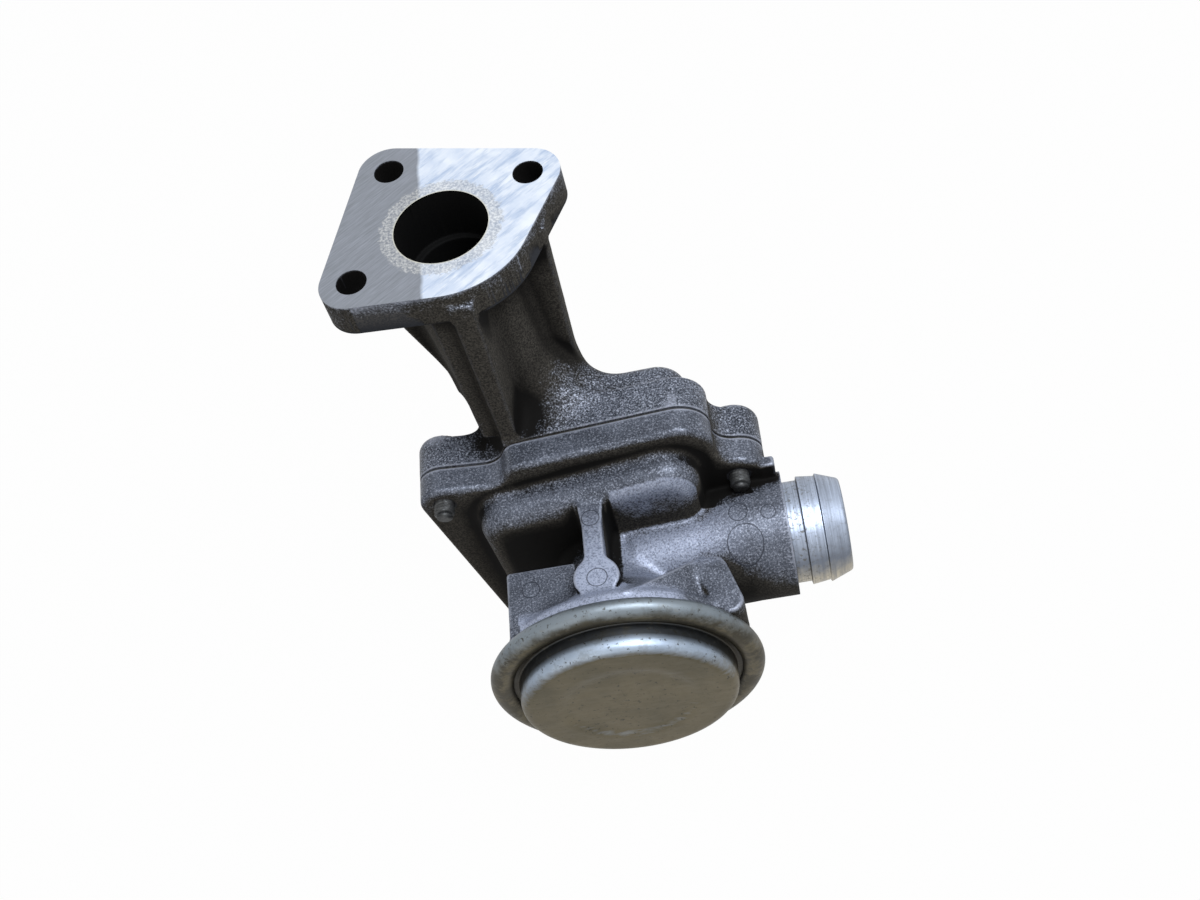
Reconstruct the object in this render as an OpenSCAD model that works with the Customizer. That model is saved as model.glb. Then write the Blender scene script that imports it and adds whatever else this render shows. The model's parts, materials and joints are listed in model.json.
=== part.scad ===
// Engine air valve: a sprung diaphragm valve and a reed valve in two die castings.
// Origin: centre of the outlet bore on the machined flange face.
// +Z leaves the flange face, the diaphragm can faces -Y, the hose nipple points along +X.

/* [Outlet flange] */
// Thickness of the flange
flange_t = 8.5; // [7:0.5:11]
// Side of the square on whose corners the bolt holes lie
bolt_pitch = 33; // [32:0.5:36]
// Diameter of the bolt holes
bolt_hole_d = 7; // [6:0.1:8]
// Turn of the hole square about the outlet axis, in degrees
flange_turn = -15; // [-20:1:-10]
// Rounding of the flange at each bolt hole
flange_corner_r = 7.4; // [6.5:0.1:8.5]
// Round edge of the flange at the corner that has no hole
flange_round_r = 20.4; // [19:0.1:21.5]
// Diameter of the outlet bore
outlet_bore_d = 21.5; // [19:0.1:22]
// Depth to which the outlet bore is straight
outlet_bore_depth = 14; // [10:0.5:16]

/* [Neck] */
// Outside radius of the neck at its foot
neck_r = 12.4; // [12:0.1:13]
// Extra radius of the neck at the flange
neck_draft = 1; // [0.5:0.1:1.5]
// Wall of the neck below the straight bore
neck_wall = 3; // [2.5:0.1:3.5]
// Lean of the neck towards the inlet side, in degrees
neck_lean = 5; // [4:0.1:6]
// Width of the front rib at its outer edge
rib_edge_w = 4.4; // [3.5:0.1:6]
// Width of the front rib where it meets the neck
rib_root_w = 9.5; // [7:0.1:11]
// Thickness of the side webs
web_t = 6; // [4:0.1:7]

/* [Housing joint] */
// Distance from the outlet axis to the joint between the castings
joint_y = 22; // [21:0.1:24]
// Height of the joint's upper edge below the flange face
joint_top = 53; // [50:0.5:56]
// Height of the joint's lower edge below the flange face
joint_bottom = 127; // [124:0.5:130]
// Thickness of the cover's rim
cover_rim_t = 9.2; // [8:0.1:11]
// Thickness of the valve housing's rim
housing_rim_t = 7; // [6:0.1:8]
// Thickness of the gasket between the castings
gasket_t = 0.8; // [0.5:0.1:1.5]
// Radius of the ears that the screws go through
ear_r = 6.7; // [6:0.1:7.5]
// Height of the cover's dome behind its rim
dome_h = 12.6; // [12:0.2:15]
// Wall of the castings
cast_wall = 2.6; // [2.2:0.1:3.2]

/* [Housing screws] */
// Thread diameter of the housing screws
screw_d = 5; // [4:0.1:5.5]
// Length of a screw past the underside of its ear
screw_tip = 3.5; // [2:0.1:5]
// Width across the screw's head
screw_head_d = 8; // [7:0.1:8.4]
// Height of the screw's head
screw_head_h = 3.4; // [2.5:0.1:4]

/* [Reed valve] */
// Width of the reed plate
reed_plate_w = 46; // [42:0.5:47]
// Height of the reed plate
reed_plate_l = 56; // [52:0.5:57]
// Thickness of the reed plate
reed_plate_t = 3; // [2.5:0.1:3.5]
// Width of each reed petal
petal_w = 15; // [13:0.1:16]
// Free length of each reed petal
petal_l = 32; // [28:0.5:34]
// Thickness of the reed petals
petal_t = 0.3; // [0.2:0.05:0.4]
// Angle at which a petal meets its stop, in degrees
petal_lift = 12; // [8:1:14]

/* [Valve] */
// Side offset of the valve axis from the outlet axis
valve_x = 21; // [20:0.1:22]
// Depth of the valve axis below the flange face
valve_drop = 88; // [86:0.5:90]
// Bore of the valve seat
seat_bore_d = 15; // [12:0.1:16]
// Outside diameter of the valve seat ring
seat_ring_d = 20; // [18:0.1:21]
// Travel of the valve from closed to open
valve_travel = 4.5; // [3:0.1:4.8]
// Diameter of the valve stem
stem_d = 5; // [4:0.1:6]
// Running clearance between the stem and its guide, on the radius
stem_gap = 0.04; // [0.02:0.01:0.1]
// Outside diameter of the stem guide
guide_d = 9; // [8:0.1:10]

/* [Inlet] */
// Distance from the outlet axis to the inlet axis
inlet_y = 37.5; // [36.5:0.1:38.5]
// Outside radius of the inlet boss
inlet_boss_r = 15.3; // [15:0.1:16]
// Position of the boss's end face along +X
inlet_end_x = 64.3; // [62:0.1:68]
// Outside diameter of the nipple at its root
nipple_d = 25; // [24.4:0.1:25.6]
// Bore of the nipple
nipple_bore_d = 20.4; // [19:0.1:21]
// Length of the nipple past the boss
nipple_l = 13.8; // [12:0.1:18]
// Height of the nipple's barbs
barb_h = 0.9; // [0.5:0.1:1.2]

/* [Diaphragm can] */
// Radius of the can
can_r = 25.8; // [25.2:0.1:26.4]
// Height of the can's face above the clamp ring
can_h = 6.9; // [6.8:0.1:8.5]
// Thickness of the can's sheet
can_t = 0.8; // [0.6:0.1:1]
// Rounding of the can's edge
can_edge_r = 6; // [5:0.1:7]
// Outside radius of the rolled clamp ring
ring_r = 32.6; // [32:0.1:33.2]
// Radius of the ring's rounded front
ring_roll_r = 2.6; // [2.4:0.1:2.8]
// Height of the clamped faces from the outlet axis
clamp_y = 68.5; // [67.5:0.1:69]
// Thickness of the rubber diaphragm
diaphragm_t = 0.8; // [0.6:0.1:1]

/* [Hidden] */
$fn = 48;

castings_colour = "#70726f";
machined_colour = "#b9bdc2";
zinc_colour = "#a5a18f";
steel_colour = "#5b5d5e";
rubber_colour = "#1f2022";

// Heights along Y of the faces at the joint
cover_face = -joint_y + gasket_t / 2;
housing_face = -joint_y - gasket_t / 2;
rim_back = cover_face + cover_rim_t;
rim_front = housing_face - housing_rim_t;

// Ears in the joint plane, as [x, z, r]: upper left, upper right, lower right, lower left
ear_at = [[-16.4, -joint_top - 10.9, ear_r - 0.8], [54.6, -joint_top - 19.6, ear_r],
    [43.5, ear_r - joint_bottom, ear_r], [-5.5, ear_r - joint_bottom, ear_r]];
// Round corners of the joint's upper edge, as [x, z, r]
shoulder_at = [[4, -joint_top - 4, 4], [41.5, -joint_top - 5.7, 8.5]];
ear_fillet = 5;
// The upper screws sit nearer the edge than the centres of their ears
screw_shift = [0.6, 1, 0, 0];
// Depth of the pockets that the screw heads lie in
screw_sink = 4;

// Reed valve
reed_x = 19;
reed_z = -(joint_top + joint_bottom) / 2 + 0.5;
reed_ledge = 2.5;
reed_fit = 0.1;
window_side = 2;
reed_chamber_floor = housing_face - 13;
petal_gap = 6;
open_x = reed_plate_w / 2 - reed_ledge;
open_z = reed_plate_l / 2 - reed_ledge;
root_h = 7;
root_gap = 0.5;
petal_root_z = reed_z - open_z + root_gap + root_h;
function petal_x(side) = reed_x + side * (petal_w + petal_gap) / 2;
stop_t = 1.2;
reed_screw_d = 3;
reed_screw_l = 2.6;

// Bulge of the reed chamber on the valve housing
bulge_front = reed_chamber_floor - cast_wall;
bulge_r = 5.5;

// Valve: heights along the valve axis are measured from the outlet axis towards -Y
valve_z = -valve_drop;
seat_h = 0.6 - bulge_front;
seal_t = 1.4;
disc_t = 1.4;
disc_r = 8.8;
stem_r = stem_d / 2;
spigot_r = stem_r - 0.5;
stem_shoulder = seat_h + seal_t + disc_t;
valve_room_r = seat_ring_d / 2 + 1.1;
valve_room_end = stem_shoulder + valve_travel + 2;
guide_end = valve_room_end + 7;
seal_end = guide_end + 3.4;
retainer_t = 0.8;
chamber_floor = seal_end + retainer_t;

// Diaphragm and can
lip_t = 0.8;
ring_sheet = 0.7;
ring_fit = 0.1;
ring_gap = 1.4;
collar_r = 29;
lip_r = collar_r + 1.2;
lip_back = clamp_y - lip_t;
can_seat = clamp_y + diaphragm_t;
ring_seat = can_seat + can_t;
ring_mid = (lip_back + ring_seat) / 2;
ring_back = lip_back - ring_sheet;
chamber_r = can_r - can_t - 0.2;
can_face = ring_seat + can_h;
emboss_r = 15.6;
emboss_d = 0.5;
vent_d = 2;
plate_r = 16.6;
plate_t = 1;
plate_seat = clamp_y - 3.2;
cup_floor = plate_seat + plate_t + diaphragm_t + plate_t;
nut_h = 2.2;
stem_end = cup_floor + nut_h + 0.4;
conv_r = (chamber_r - plate_r - 0.4) / 2;
conv_x = chamber_r - conv_r;
conv_h = clamp_y - 0.6;
spring_wire = 1.4;
spring_turns = 3.5;
spring_lo_r = plate_r - 4;
spring_hi_r = can_r - can_edge_r - 0.8;
spring_lo = cup_floor + spring_wire / 2;
spring_hi = can_face - can_t - spring_wire / 2;

// Inlet: duct from the valve room to the boss, and the seat of the nipple
duct_end = 44;
duct_r = 13;
duct_y = -41;
seal_r = 6.5;
nipple_seat = 11;
nipple_step = 0.3;
nipple_press_r = 12;
channel_x = 43.5;
channel_z = valve_z + 7;

// Block beside the collar, pad on the bulge and oval boss beside the inlet
block_x = -3.2;
block_back = 48.5;
block_front = ring_back - 0.3;
pad_z = -61;
pad_boss_y = -57.4;
oval_z = -70;

// Extrudes an outline drawn in x and z, from y0 back to y1
module slab(y0, y1) translate([0, y1, 0]) rotate([90, 0, 0]) linear_extrude(y1 - y0) children();

// Turns local height into distance towards -Y from the outlet axis, on the valve axis
module on_valve_axis() translate([valve_x, 0, valve_z]) rotate([90, 0, 0]) children();

// Turns local height into distance along +X, on the inlet axis
module on_inlet_axis() translate([0, -inlet_y, valve_z]) rotate([0, 90, 0]) children();

// Places children along the neck, which leans from the end of the straight bore
module along_neck() translate([0, 0, -flange_t]) rotate([0, -neck_lean, 0]) children();

module ring(r_out, r_in, h0, h1) translate([0, 0, h0]) difference() {
    cylinder(r = r_out, h = h1 - h0);
    translate([0, 0, -1]) cylinder(r = r_in, h = h1 - h0 + 2);
}

// Tangent points of the outer line from circle a to circle b, each [x, y, r],
// with both circles on the line's left
function tangent(a, b) = let(d = [b[0] - a[0], b[1] - a[1]], l = norm(d),
        t = atan2(d[1], d[0]) - 90 + asin((a[2] - b[2]) / l))
    [[a[0] + a[2] * cos(t), a[1] + a[2] * sin(t)], [b[0] + b[2] * cos(t), b[1] + b[2] * sin(t)]];

// Convex outline round circles [x, y, r] given anticlockwise
module belt(circles) {
    n = len(circles);
    polygon([for (i = [0:n - 1]) each tangent(circles[i], circles[(i + 1) % n])]);
    for (c = circles) translate([c[0], c[1]]) circle(c[2]);
}

module rounded_box_2d(x, z, w, h, r) belt([for (s = [[-1, -1], [1, -1], [1, 1], [-1, 1]])
    [x + s[0] * (w / 2 - r), z + s[1] * (h / 2 - r), r]]);

// Outline of the joint between the castings, with a soft run into each upper ear
module joint_outline() offset(r = -ear_fillet) offset(r = ear_fillet) {
    belt([ear_at[3], ear_at[2], ear_at[1], ear_at[0]]);
    belt([ear_at[3] + [4, 0, 0], ear_at[2], shoulder_at[1], shoulder_at[0]]);
}

module at_screws() for (i = [0:3]) translate([ear_at[i][0], 0, ear_at[i][1] + screw_shift[i]])
    rotate([90, 0, 0]) children();

// Outline of the flange: three round corners at the bolt holes, one wide round edge
hole_at = [for (s = [[-1, 1], [1, 1], [-1, -1]]) [s[0], s[1]] * bolt_pitch / 2];
module flange_outline() rotate(flange_turn) {
    belt([[0, 0, flange_round_r], concat(hole_at[1], flange_corner_r),
        concat(hole_at[0], flange_corner_r), concat(hole_at[2], flange_corner_r)]);
}

// Neck, ribs and the fairing that turns the air passage into the cover
neck_foot = joint_top + 4;
rib_edge_y = flange_round_r + 0.9;
module neck() {
    along_neck() translate([0, 0, -neck_foot]) cylinder(r1 = neck_r, r2 = neck_r + neck_draft,
        h = neck_foot);
    front_rib();
    side_webs();
}

// The front rib narrows towards its edge, as a die needs, and ends at the joint
module front_rib() translate([0, 0, -flange_t]) rotate([0, -neck_lean / 2, 0])
    translate([0, 0, -joint_top + flange_t]) linear_extrude(joint_top - flange_t)
        translate([1.1, 0]) polygon([[-rib_edge_w / 2, -rib_edge_y], [rib_edge_w / 2, -rib_edge_y],
            [rib_root_w / 2, -neck_r + 3], [-rib_root_w / 2, -neck_r + 3]]);

web_foot = joint_top - 1;
module side_webs() {
    slab(-web_t / 2, web_t / 2) polygon([[-22.7, -flange_t], [22, -flange_t],
        [20.9, -web_foot], [-7.9, -web_foot], [-9, -web_foot + 5]]);
    translate([1, 0, 0]) rotate([0, 0, 90]) slab(-web_t / 2, web_t / 2)
        polygon([[0, -flange_t], [20, -flange_t], [15, -web_foot], [14, -web_foot - 10],
            [0, -web_foot - 10]]);
}

// Centres of the dome's round corners, as [x, z] from the middle of the reed plate
dome_corner_r = 11;
dome_corners = [[6.5 - open_x, 1 - open_z], [open_x - 4.5, 1 - open_z],
    [open_x - 3, open_z + 0.5], [6.5 - open_x, open_z - 3]];

// Dome of the cover, in layers that follow a quarter round
dome_round = 6;
module dome(shrink, depth) hull() for (a = [0, 30, 60, 90]) {
    inset = shrink + dome_round * (1 - cos(a));
    y = rim_back + (depth - dome_round) * a / 90 + dome_round * sin(a);
    slab(y - 0.2, y) belt([for (c = dome_corners)
        [reed_x + c[0], reed_z + c[1], dome_corner_r - inset]]);
}

// Root that turns the round passage of the neck into the chamber of the cover
module passage_root(r) hull() {
    along_neck() translate([0, 0, -joint_top + flange_t + 3]) cylinder(r = r - 1, h = 2);
    translate([16, -6, -joint_top - 38]) rotate([90, 0, 0]) cylinder(r = r + 3.5, h = 2);
    translate([9, rim_back + 1, -joint_top - 21]) rotate([90, 0, 0]) cylinder(r = r + 2, h = 2);
}

module outlet_housing() color(castings_colour) difference() {
    union() {
        translate([0, 0, -flange_t]) linear_extrude(flange_t) flange_outline();
        neck();
        slab(cover_face, rim_back) joint_outline();
        dome(0, dome_h);
        passage_root(neck_r);
    }
    translate([0, 0, -outlet_bore_depth]) cylinder(d = outlet_bore_d, h = outlet_bore_depth + 1);
    along_neck() translate([0, 0, -neck_foot]) cylinder(r = neck_r - neck_wall, h = neck_foot);
    rotate(flange_turn) for (p = hole_at) translate([p[0], p[1], -flange_t - 1])
        cylinder(d = bolt_hole_d, h = flange_t + 2);
    slab(cover_face - 1, rim_back + 1) reed_opening_2d();
    dome(cast_wall, dome_h - cast_wall);
    passage_root(neck_r - neck_wall);
    at_screws() translate([0, 0, -rim_back - 1]) cylinder(d = screw_d + 0.5, h = cover_rim_t + 2);
    at_screws() translate([0, 0, -rim_back - 20]) cylinder(d = screw_head_d + 0.6, h = 20 + screw_sink);
}

// Opening of both castings over the reed plate, inside its clamped edge
module reed_opening_2d() rounded_box_2d(reed_x, reed_z, 2 * open_x, 2 * open_z, 3);

module bulge() hull() for (a = [0, 30, 60, 90])
    slab(bulge_front + bulge_r * (1 - sin(a)), rim_front + 0.5) bulge_outline(bulge_r * (1 - cos(a)));

// The bulge's upper edge rises towards the inlet side
bulge_corner_r = 8.5;
bulge_corners = [[3.5 - open_x, 4 - open_z], [open_x - 2.5, 4 - open_z],
    [open_x - 2.5, open_z - 1], [1 - open_x, open_z - 6.8]];
module bulge_outline(inset) belt([for (c = bulge_corners)
    [reed_x + c[0], reed_z + c[1], bulge_corner_r - inset]]);

// Raised flat of the casting: a spine with a round boss at its end
module pad() translate([valve_x - 2, 0, pad_z - 16]) linear_extrude(16) {
    translate([-2.4, pad_boss_y]) square([4.8, -pad_boss_y + bulge_front + 2]);
    translate([0, pad_boss_y]) circle(5.4);
}

// Flat-topped oval boss of the pressure channel
module oval_boss() translate([0, 0, oval_z - 14]) linear_extrude(14)
    belt([[46.6, -61.4, 3], [45, -56.2, 4]]);

// Thin web from the oval boss to the collar, and the lug on top of the inlet boss
module gusset() hull() {
    translate([32, -62, valve_z + 26]) cube([1, 2, 1]);
    translate([43, -54, oval_z - 2]) cube([1, 3, 1]);
    translate([33, -62, valve_z + 8]) cube([10, 8, 1]);
}
module lug() translate([60.4, rim_front, valve_z + 9]) cube([3, 3, 11]);

// Wall round the channel that leads inlet pressure to the diaphragm
module channel(r, y_end) translate([channel_x, duct_y - 6, channel_z]) rotate([90, 0, 0])
    cylinder(r = r, h = -y_end + duct_y - 6);

module valve_housing() color(castings_colour) difference() {
    union() {
        slab(rim_front, housing_face) joint_outline();
        bulge();
        on_valve_axis() translate([0, 0, -rim_front - 1])
            cylinder(r = valve_room_r + cast_wall, h = valve_room_end + rim_front + 2);
        duct();
        on_inlet_axis() translate([0, 0, duct_end]) cylinder(r = inlet_boss_r, h = inlet_end_x - duct_end);
        dish();
        pad();
        oval_boss();
        gusset();
        block();
        lug();
        channel(3.2, -62.5);
    }
    translate([-100, housing_face, -200]) cube([200, 100, 160]);
    slab(housing_face - reed_plate_t, housing_face + 1) rounded_box_2d(reed_x, reed_z,
        reed_plate_w + 2 * reed_fit, reed_plate_l + 2 * reed_fit, 3);
    slab(reed_chamber_floor, housing_face) reed_opening_2d();
    on_valve_axis() {
        translate([0, 0, -reed_chamber_floor - 1]) cylinder(d = seat_ring_d, h = cast_wall + 2);
        translate([0, 0, -bulge_front]) cylinder(r = valve_room_r, h = valve_room_end + bulge_front);
        translate([0, 0, valve_room_end - 1]) cylinder(d = guide_d, h = 20);
        translate([0, 0, guide_end]) cylinder(r = seal_r, h = 20);
        rotate_extrude() polygon([[0, chamber_floor], [14, chamber_floor], [21.5, clamp_y - 5.8],
            [chamber_r, clamp_y - 4], [chamber_r, clamp_y + 1], [0, clamp_y + 1]]);
    }
    inlet_passage();
    channel(1.3, -clamp_y + 3);
    at_screws() translate([0, 0, -housing_face - 1]) cylinder(d = screw_d, h = housing_rim_t + 3);
    at_screws() translate([0, 0, -rim_front]) cylinder(d = screw_d + 1.2, h = screw_tip + 1);
}

module duct() translate([valve_x, duct_y, valve_z]) rotate([0, 90, 0])
    cylinder(r = duct_r, h = duct_end - valve_x + 2);

module inlet_passage() {
    on_inlet_axis() translate([0, 0, duct_end + cast_wall]) cylinder(d = nipple_bore_d - 2 * nipple_step, h = 40);
    on_inlet_axis() translate([0, 0, inlet_end_x - nipple_seat]) cylinder(r = nipple_press_r, h = 40);
    intersection() {
        translate([valve_x, duct_y, valve_z]) rotate([0, 90, 0])
            cylinder(r = duct_r - cast_wall, h = duct_end - valve_x + cast_wall + 3);
        translate([valve_x, bulge_front - 30, valve_z - 20]) cube([60, 30, 40]);
    }
}

// Conical back of the diaphragm chamber, with its collar and the lip that the ring holds
module dish() on_valve_axis() rotate_extrude() {
    r = valve_room_r + cast_wall;
    polygon([[0, valve_room_end - 1], [r, valve_room_end - 1], [r + 0.5, guide_end - 1],
        [collar_r - 5.5, lip_back - 5.5], [collar_r, lip_back - 5.5], [collar_r, lip_back],
        [lip_r, lip_back], [lip_r, clamp_y], [0, clamp_y]]);
}

module block() translate([block_x, -block_front, valve_z - 20])
    cube([16, block_front - block_back, 40]);

// Turned hose nipple, pressed into the boss
module inlet_nipple() color(machined_colour) on_inlet_axis() rotate_extrude() {
    r = nipple_d / 2;
    r_in = nipple_bore_d / 2;
    x = inlet_end_x;
    polygon([[r_in, x - nipple_seat], [nipple_press_r, x - nipple_seat], [nipple_press_r, x], [r, x],
        [r, x + 0.25 * nipple_l], [r + barb_h, x + 0.26 * nipple_l], [r + 0.3, x + 0.58 * nipple_l],
        [r + barb_h, x + 0.6 * nipple_l], [r - 1.15, x + nipple_l], [r_in, x + nipple_l]]);
}

module can_profile(inset) {
    r = can_r - inset;
    e = can_edge_r - inset;
    translate([0, can_seat]) square([r - e, can_face - inset - can_seat]);
    translate([0, can_seat]) square([r, can_face - inset - can_seat - e]);
    intersection() {
        translate([r - e, can_face - inset - e]) circle(e);
        translate([0, can_seat]) square([r, can_face - can_seat]);
    }
}
// Drawn can with a shallow round recess in its face and a vent low on its wall
module diaphragm_can() color(zinc_colour) on_valve_axis() difference() {
    rotate_extrude() difference() {
        union() {
            can_profile(0);
            translate([0, can_seat]) square([lip_r, can_t]);
        }
        difference() {
            can_profile(can_t);
            translate([0, can_face - can_t - emboss_d]) square([emboss_r, 5]);
        }
        translate([0, can_seat - 1]) square([can_r - can_t, 1 + can_t]);
        translate([0, can_face - emboss_d]) square([emboss_r, 5]);
    }
    translate([0, -can_r + 4, ring_seat + 3]) rotate([90, 0, 0]) cylinder(d = vent_d, h = 10);
}

// Crimped ring: a flattened roll that holds the lip, the diaphragm and the can's flange
module clamp_ring() color(zinc_colour) on_valve_axis() rotate_extrude() difference() {
    belt([[collar_r - 0.4, ring_mid, ring_roll_r], [ring_r - 1.1, ring_mid, 1.1]]);
    translate([0, lip_back]) square([lip_r + ring_fit, ring_seat - lip_back]);
    translate([0, 0]) square([collar_r + ring_fit, lip_back + 0.1]);
    translate([0, 0]) square([can_r + ring_gap, 2 * clamp_y]);
    translate([0, 0]) square([2 * ring_r, ring_back]);
}

module housing_gasket() color(rubber_colour) slab(housing_face, cover_face) difference() {
    joint_outline();
    reed_opening_2d();
    for (i = [0:3]) translate([ear_at[i][0], ear_at[i][1] + screw_shift[i]])
        circle(d = screw_d + 0.5);
}

// Hexagon-flange screws, driven from the cover into the threaded ears
module housing_screws() color(steel_colour) at_screws() {
    translate([0, 0, -rim_back + screw_sink]) cylinder(d = screw_d,
        h = rim_back - screw_sink + screw_tip - rim_front);
    translate([0, 0, -rim_back + screw_sink - 1]) cylinder(d = screw_head_d, h = 1);
    translate([0, 0, -rim_back + screw_sink - screw_head_h]) cylinder(d = 0.9 * screw_head_d,
        h = screw_head_h, $fn = 6);
}

// Reed plate with a window under each petal
module reed_plate() color(steel_colour) difference() {
    slab(housing_face - reed_plate_t, housing_face) rounded_box_2d(reed_x, reed_z, reed_plate_w,
        reed_plate_l, 3);
    for (side = [-1, 1]) slab(housing_face - reed_plate_t - 1, housing_face + 1)
        rounded_box_2d(petal_x(side), petal_root_z + petal_l / 2 + 1, petal_w - 2 * window_side,
            petal_l - 2 * window_side - 4, 3);
    at_reed_screws() cylinder(d = reed_screw_d, h = 20, center = true);
}

module at_reed_screws() for (side = [-1, 1])
    translate([petal_x(side), housing_face, petal_root_z - root_h / 2]) rotate([90, 0, 0]) children();

// A petal lies on the plate; the strip below its root is clamped under the stop
module reed_petal(side) color("silver")
    slab(housing_face, housing_face + petal_t) {
        rounded_box_2d(petal_x(side), petal_root_z + petal_l / 2 + 0.1, petal_w, petal_l - 0.2, 4);
        translate([petal_x(side) - petal_w / 2, petal_root_z + 0.2]) square([petal_w, petal_l / 2]);
    }

module reed_root_strip() color("silver") difference() {
    slab(housing_face, housing_face + petal_t)
        translate([petal_x(-1) - petal_w / 2, petal_root_z - root_h])
            square([2 * petal_w + petal_gap, root_h]);
    at_reed_screws() cylinder(d = reed_screw_d, h = 20, center = true);
}

// Stop: a clamped foot and, for each petal, a tongue that rises at the angle of lift
module reed_stop() color(steel_colour) difference() {
    translate([0, housing_face + petal_t, 0]) {
        slab(0, stop_t) translate([petal_x(-1) - petal_w / 2, petal_root_z - root_h])
            square([2 * petal_w + petal_gap, root_h]);
        for (side = [-1, 1]) translate([petal_x(side) - petal_w / 2 + 2, 0, petal_root_z])
            rotate([-petal_lift - 1, 0, 0]) cube([petal_w - 4, stop_t, petal_l - 3]);
    }
    at_reed_screws() cylinder(d = reed_screw_d, h = 20, center = true);
}

module reed_screws() color(steel_colour) at_reed_screws() {
    translate([0, 0, -petal_t - stop_t]) cylinder(d = reed_screw_d,
        h = petal_t + stop_t + reed_screw_l);
    translate([0, 0, -petal_t - stop_t - 2]) cylinder(d = 5.4, h = 2);
}

module valve_seat_ring() color(machined_colour) on_valve_axis()
    ring(seat_ring_d / 2, seat_bore_d / 2, -reed_chamber_floor, seat_h);

module disc_seal() color(rubber_colour) on_valve_axis()
    ring(disc_r, spigot_r, seat_h, seat_h + seal_t);

module valve_disc() color(steel_colour) on_valve_axis()
    ring(disc_r - 0.4, spigot_r, seat_h + seal_t, stem_shoulder);

// Stem with a shoulder at the disc and one at the diaphragm's plates
module valve_stem() color(machined_colour) on_valve_axis() {
    translate([0, 0, seat_h - nut_h - 0.6]) cylinder(r = spigot_r, h = stem_end - seat_h + nut_h + 0.6);
    translate([0, 0, stem_shoulder]) cylinder(r = stem_r, h = plate_seat - stem_shoulder);
}

module hex_nut(across, h0, h1) difference() {
    translate([0, 0, h0]) cylinder(d = across / cos(30), h = h1 - h0, $fn = 6);
    translate([0, 0, h0 - 1]) cylinder(r = spigot_r, h = h1 - h0 + 2);
}
module stem_nut() color(steel_colour) on_valve_axis() hex_nut(7, seat_h - nut_h, seat_h);
module plate_nut() color(steel_colour) on_valve_axis() hex_nut(7, cup_floor, cup_floor + nut_h);

module stem_guide() color("darkkhaki") on_valve_axis()
    ring(guide_d / 2, stem_r + stem_gap, valve_room_end, guide_end);

module stem_seal() color(rubber_colour) on_valve_axis()
    ring(seal_r, stem_r + 0.1, guide_end, seal_end);

module seal_retainer() color(steel_colour) on_valve_axis()
    ring(seal_r, stem_r + 0.6, seal_end, chamber_floor);

module inner_plate() color(steel_colour) on_valve_axis()
    ring(plate_r, spigot_r, plate_seat, plate_seat + plate_t);

// Diaphragm: clamped rim, one convolution and a flat centre between the plates
module diaphragm() color(rubber_colour) on_valve_axis() rotate_extrude() {
    translate([spigot_r, plate_seat + plate_t]) square([conv_x - conv_r - spigot_r + diaphragm_t,
        diaphragm_t]);
    translate([conv_x - conv_r, plate_seat + plate_t]) square([diaphragm_t,
        conv_h - plate_seat - plate_t]);
    intersection() {
        translate([conv_x, conv_h]) difference() {
            circle(conv_r);
            circle(conv_r - diaphragm_t);
        }
        translate([0, conv_h]) square(100);
    }
    translate([conv_x + conv_r - diaphragm_t, clamp_y]) square([lip_r - conv_x - conv_r + diaphragm_t,
        diaphragm_t]);
}

// Cup that holds the spring's small end, with a turned-up rim
module spring_cup() color(zinc_colour) on_valve_axis() {
    ring(plate_r - 0.6, spigot_r, cup_floor - plate_t, cup_floor);
    ring(plate_r - 0.6, plate_r - 1.6, cup_floor - plate_t, cup_floor + 1.6);
}

// Conical closing spring, wound by a function of its turns
module closing_spring() color("gray") on_valve_axis() {
    n = 24 * spring_turns;
    m = 8;
    pts = [for (i = [0:n]) for (j = [0:m - 1]) let(u = i / n, a = 360 * spring_turns * u,
        r = spring_lo_r + (spring_hi_r - spring_lo_r) * u + spring_wire / 2 * cos(360 * j / m),
        h = spring_lo + (spring_hi - spring_lo) * u + spring_wire / 2 * sin(360 * j / m))
        [r * cos(a), r * sin(a), h]];
    sides = [for (i = [0:n - 1]) for (j = [0:m - 1]) let(k = (j + 1) % m)
        [i * m + j, i * m + k, (i + 1) * m + k, (i + 1) * m + j]];
    polyhedron(pts, concat(sides, [[for (j = [m - 1:-1:0]) j]], [[for (j = [0:m - 1]) n * m + j]]));
}

outlet_housing();
valve_housing();
housing_gasket();
housing_screws();
reed_plate();
reed_petal(-1);  // reed_petal_left
reed_petal(1);  // reed_petal_right
reed_root_strip();
reed_stop();
reed_screws();
inlet_nipple();
valve_seat_ring();
disc_seal();
valve_disc();
valve_stem();
stem_nut();
stem_guide();
stem_seal();
seal_retainer();
inner_plate();
diaphragm();
spring_cup();
plate_nut();
closing_spring();
diaphragm_can();
clamp_ring();
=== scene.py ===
# %% [markdown]
# # Engine air valve
#
# Two die castings hold a reed valve and a sprung diaphragm valve. Air comes in through the
# turned hose nipple, passes the valve and the reeds, and leaves through the round bore of the
# flange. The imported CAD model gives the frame, and this lesson dresses it. Lengths in the
# lesson are in millimetres in the part's own frame, and turn to metres only in the meshes.

import functools
import json
import math

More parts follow.
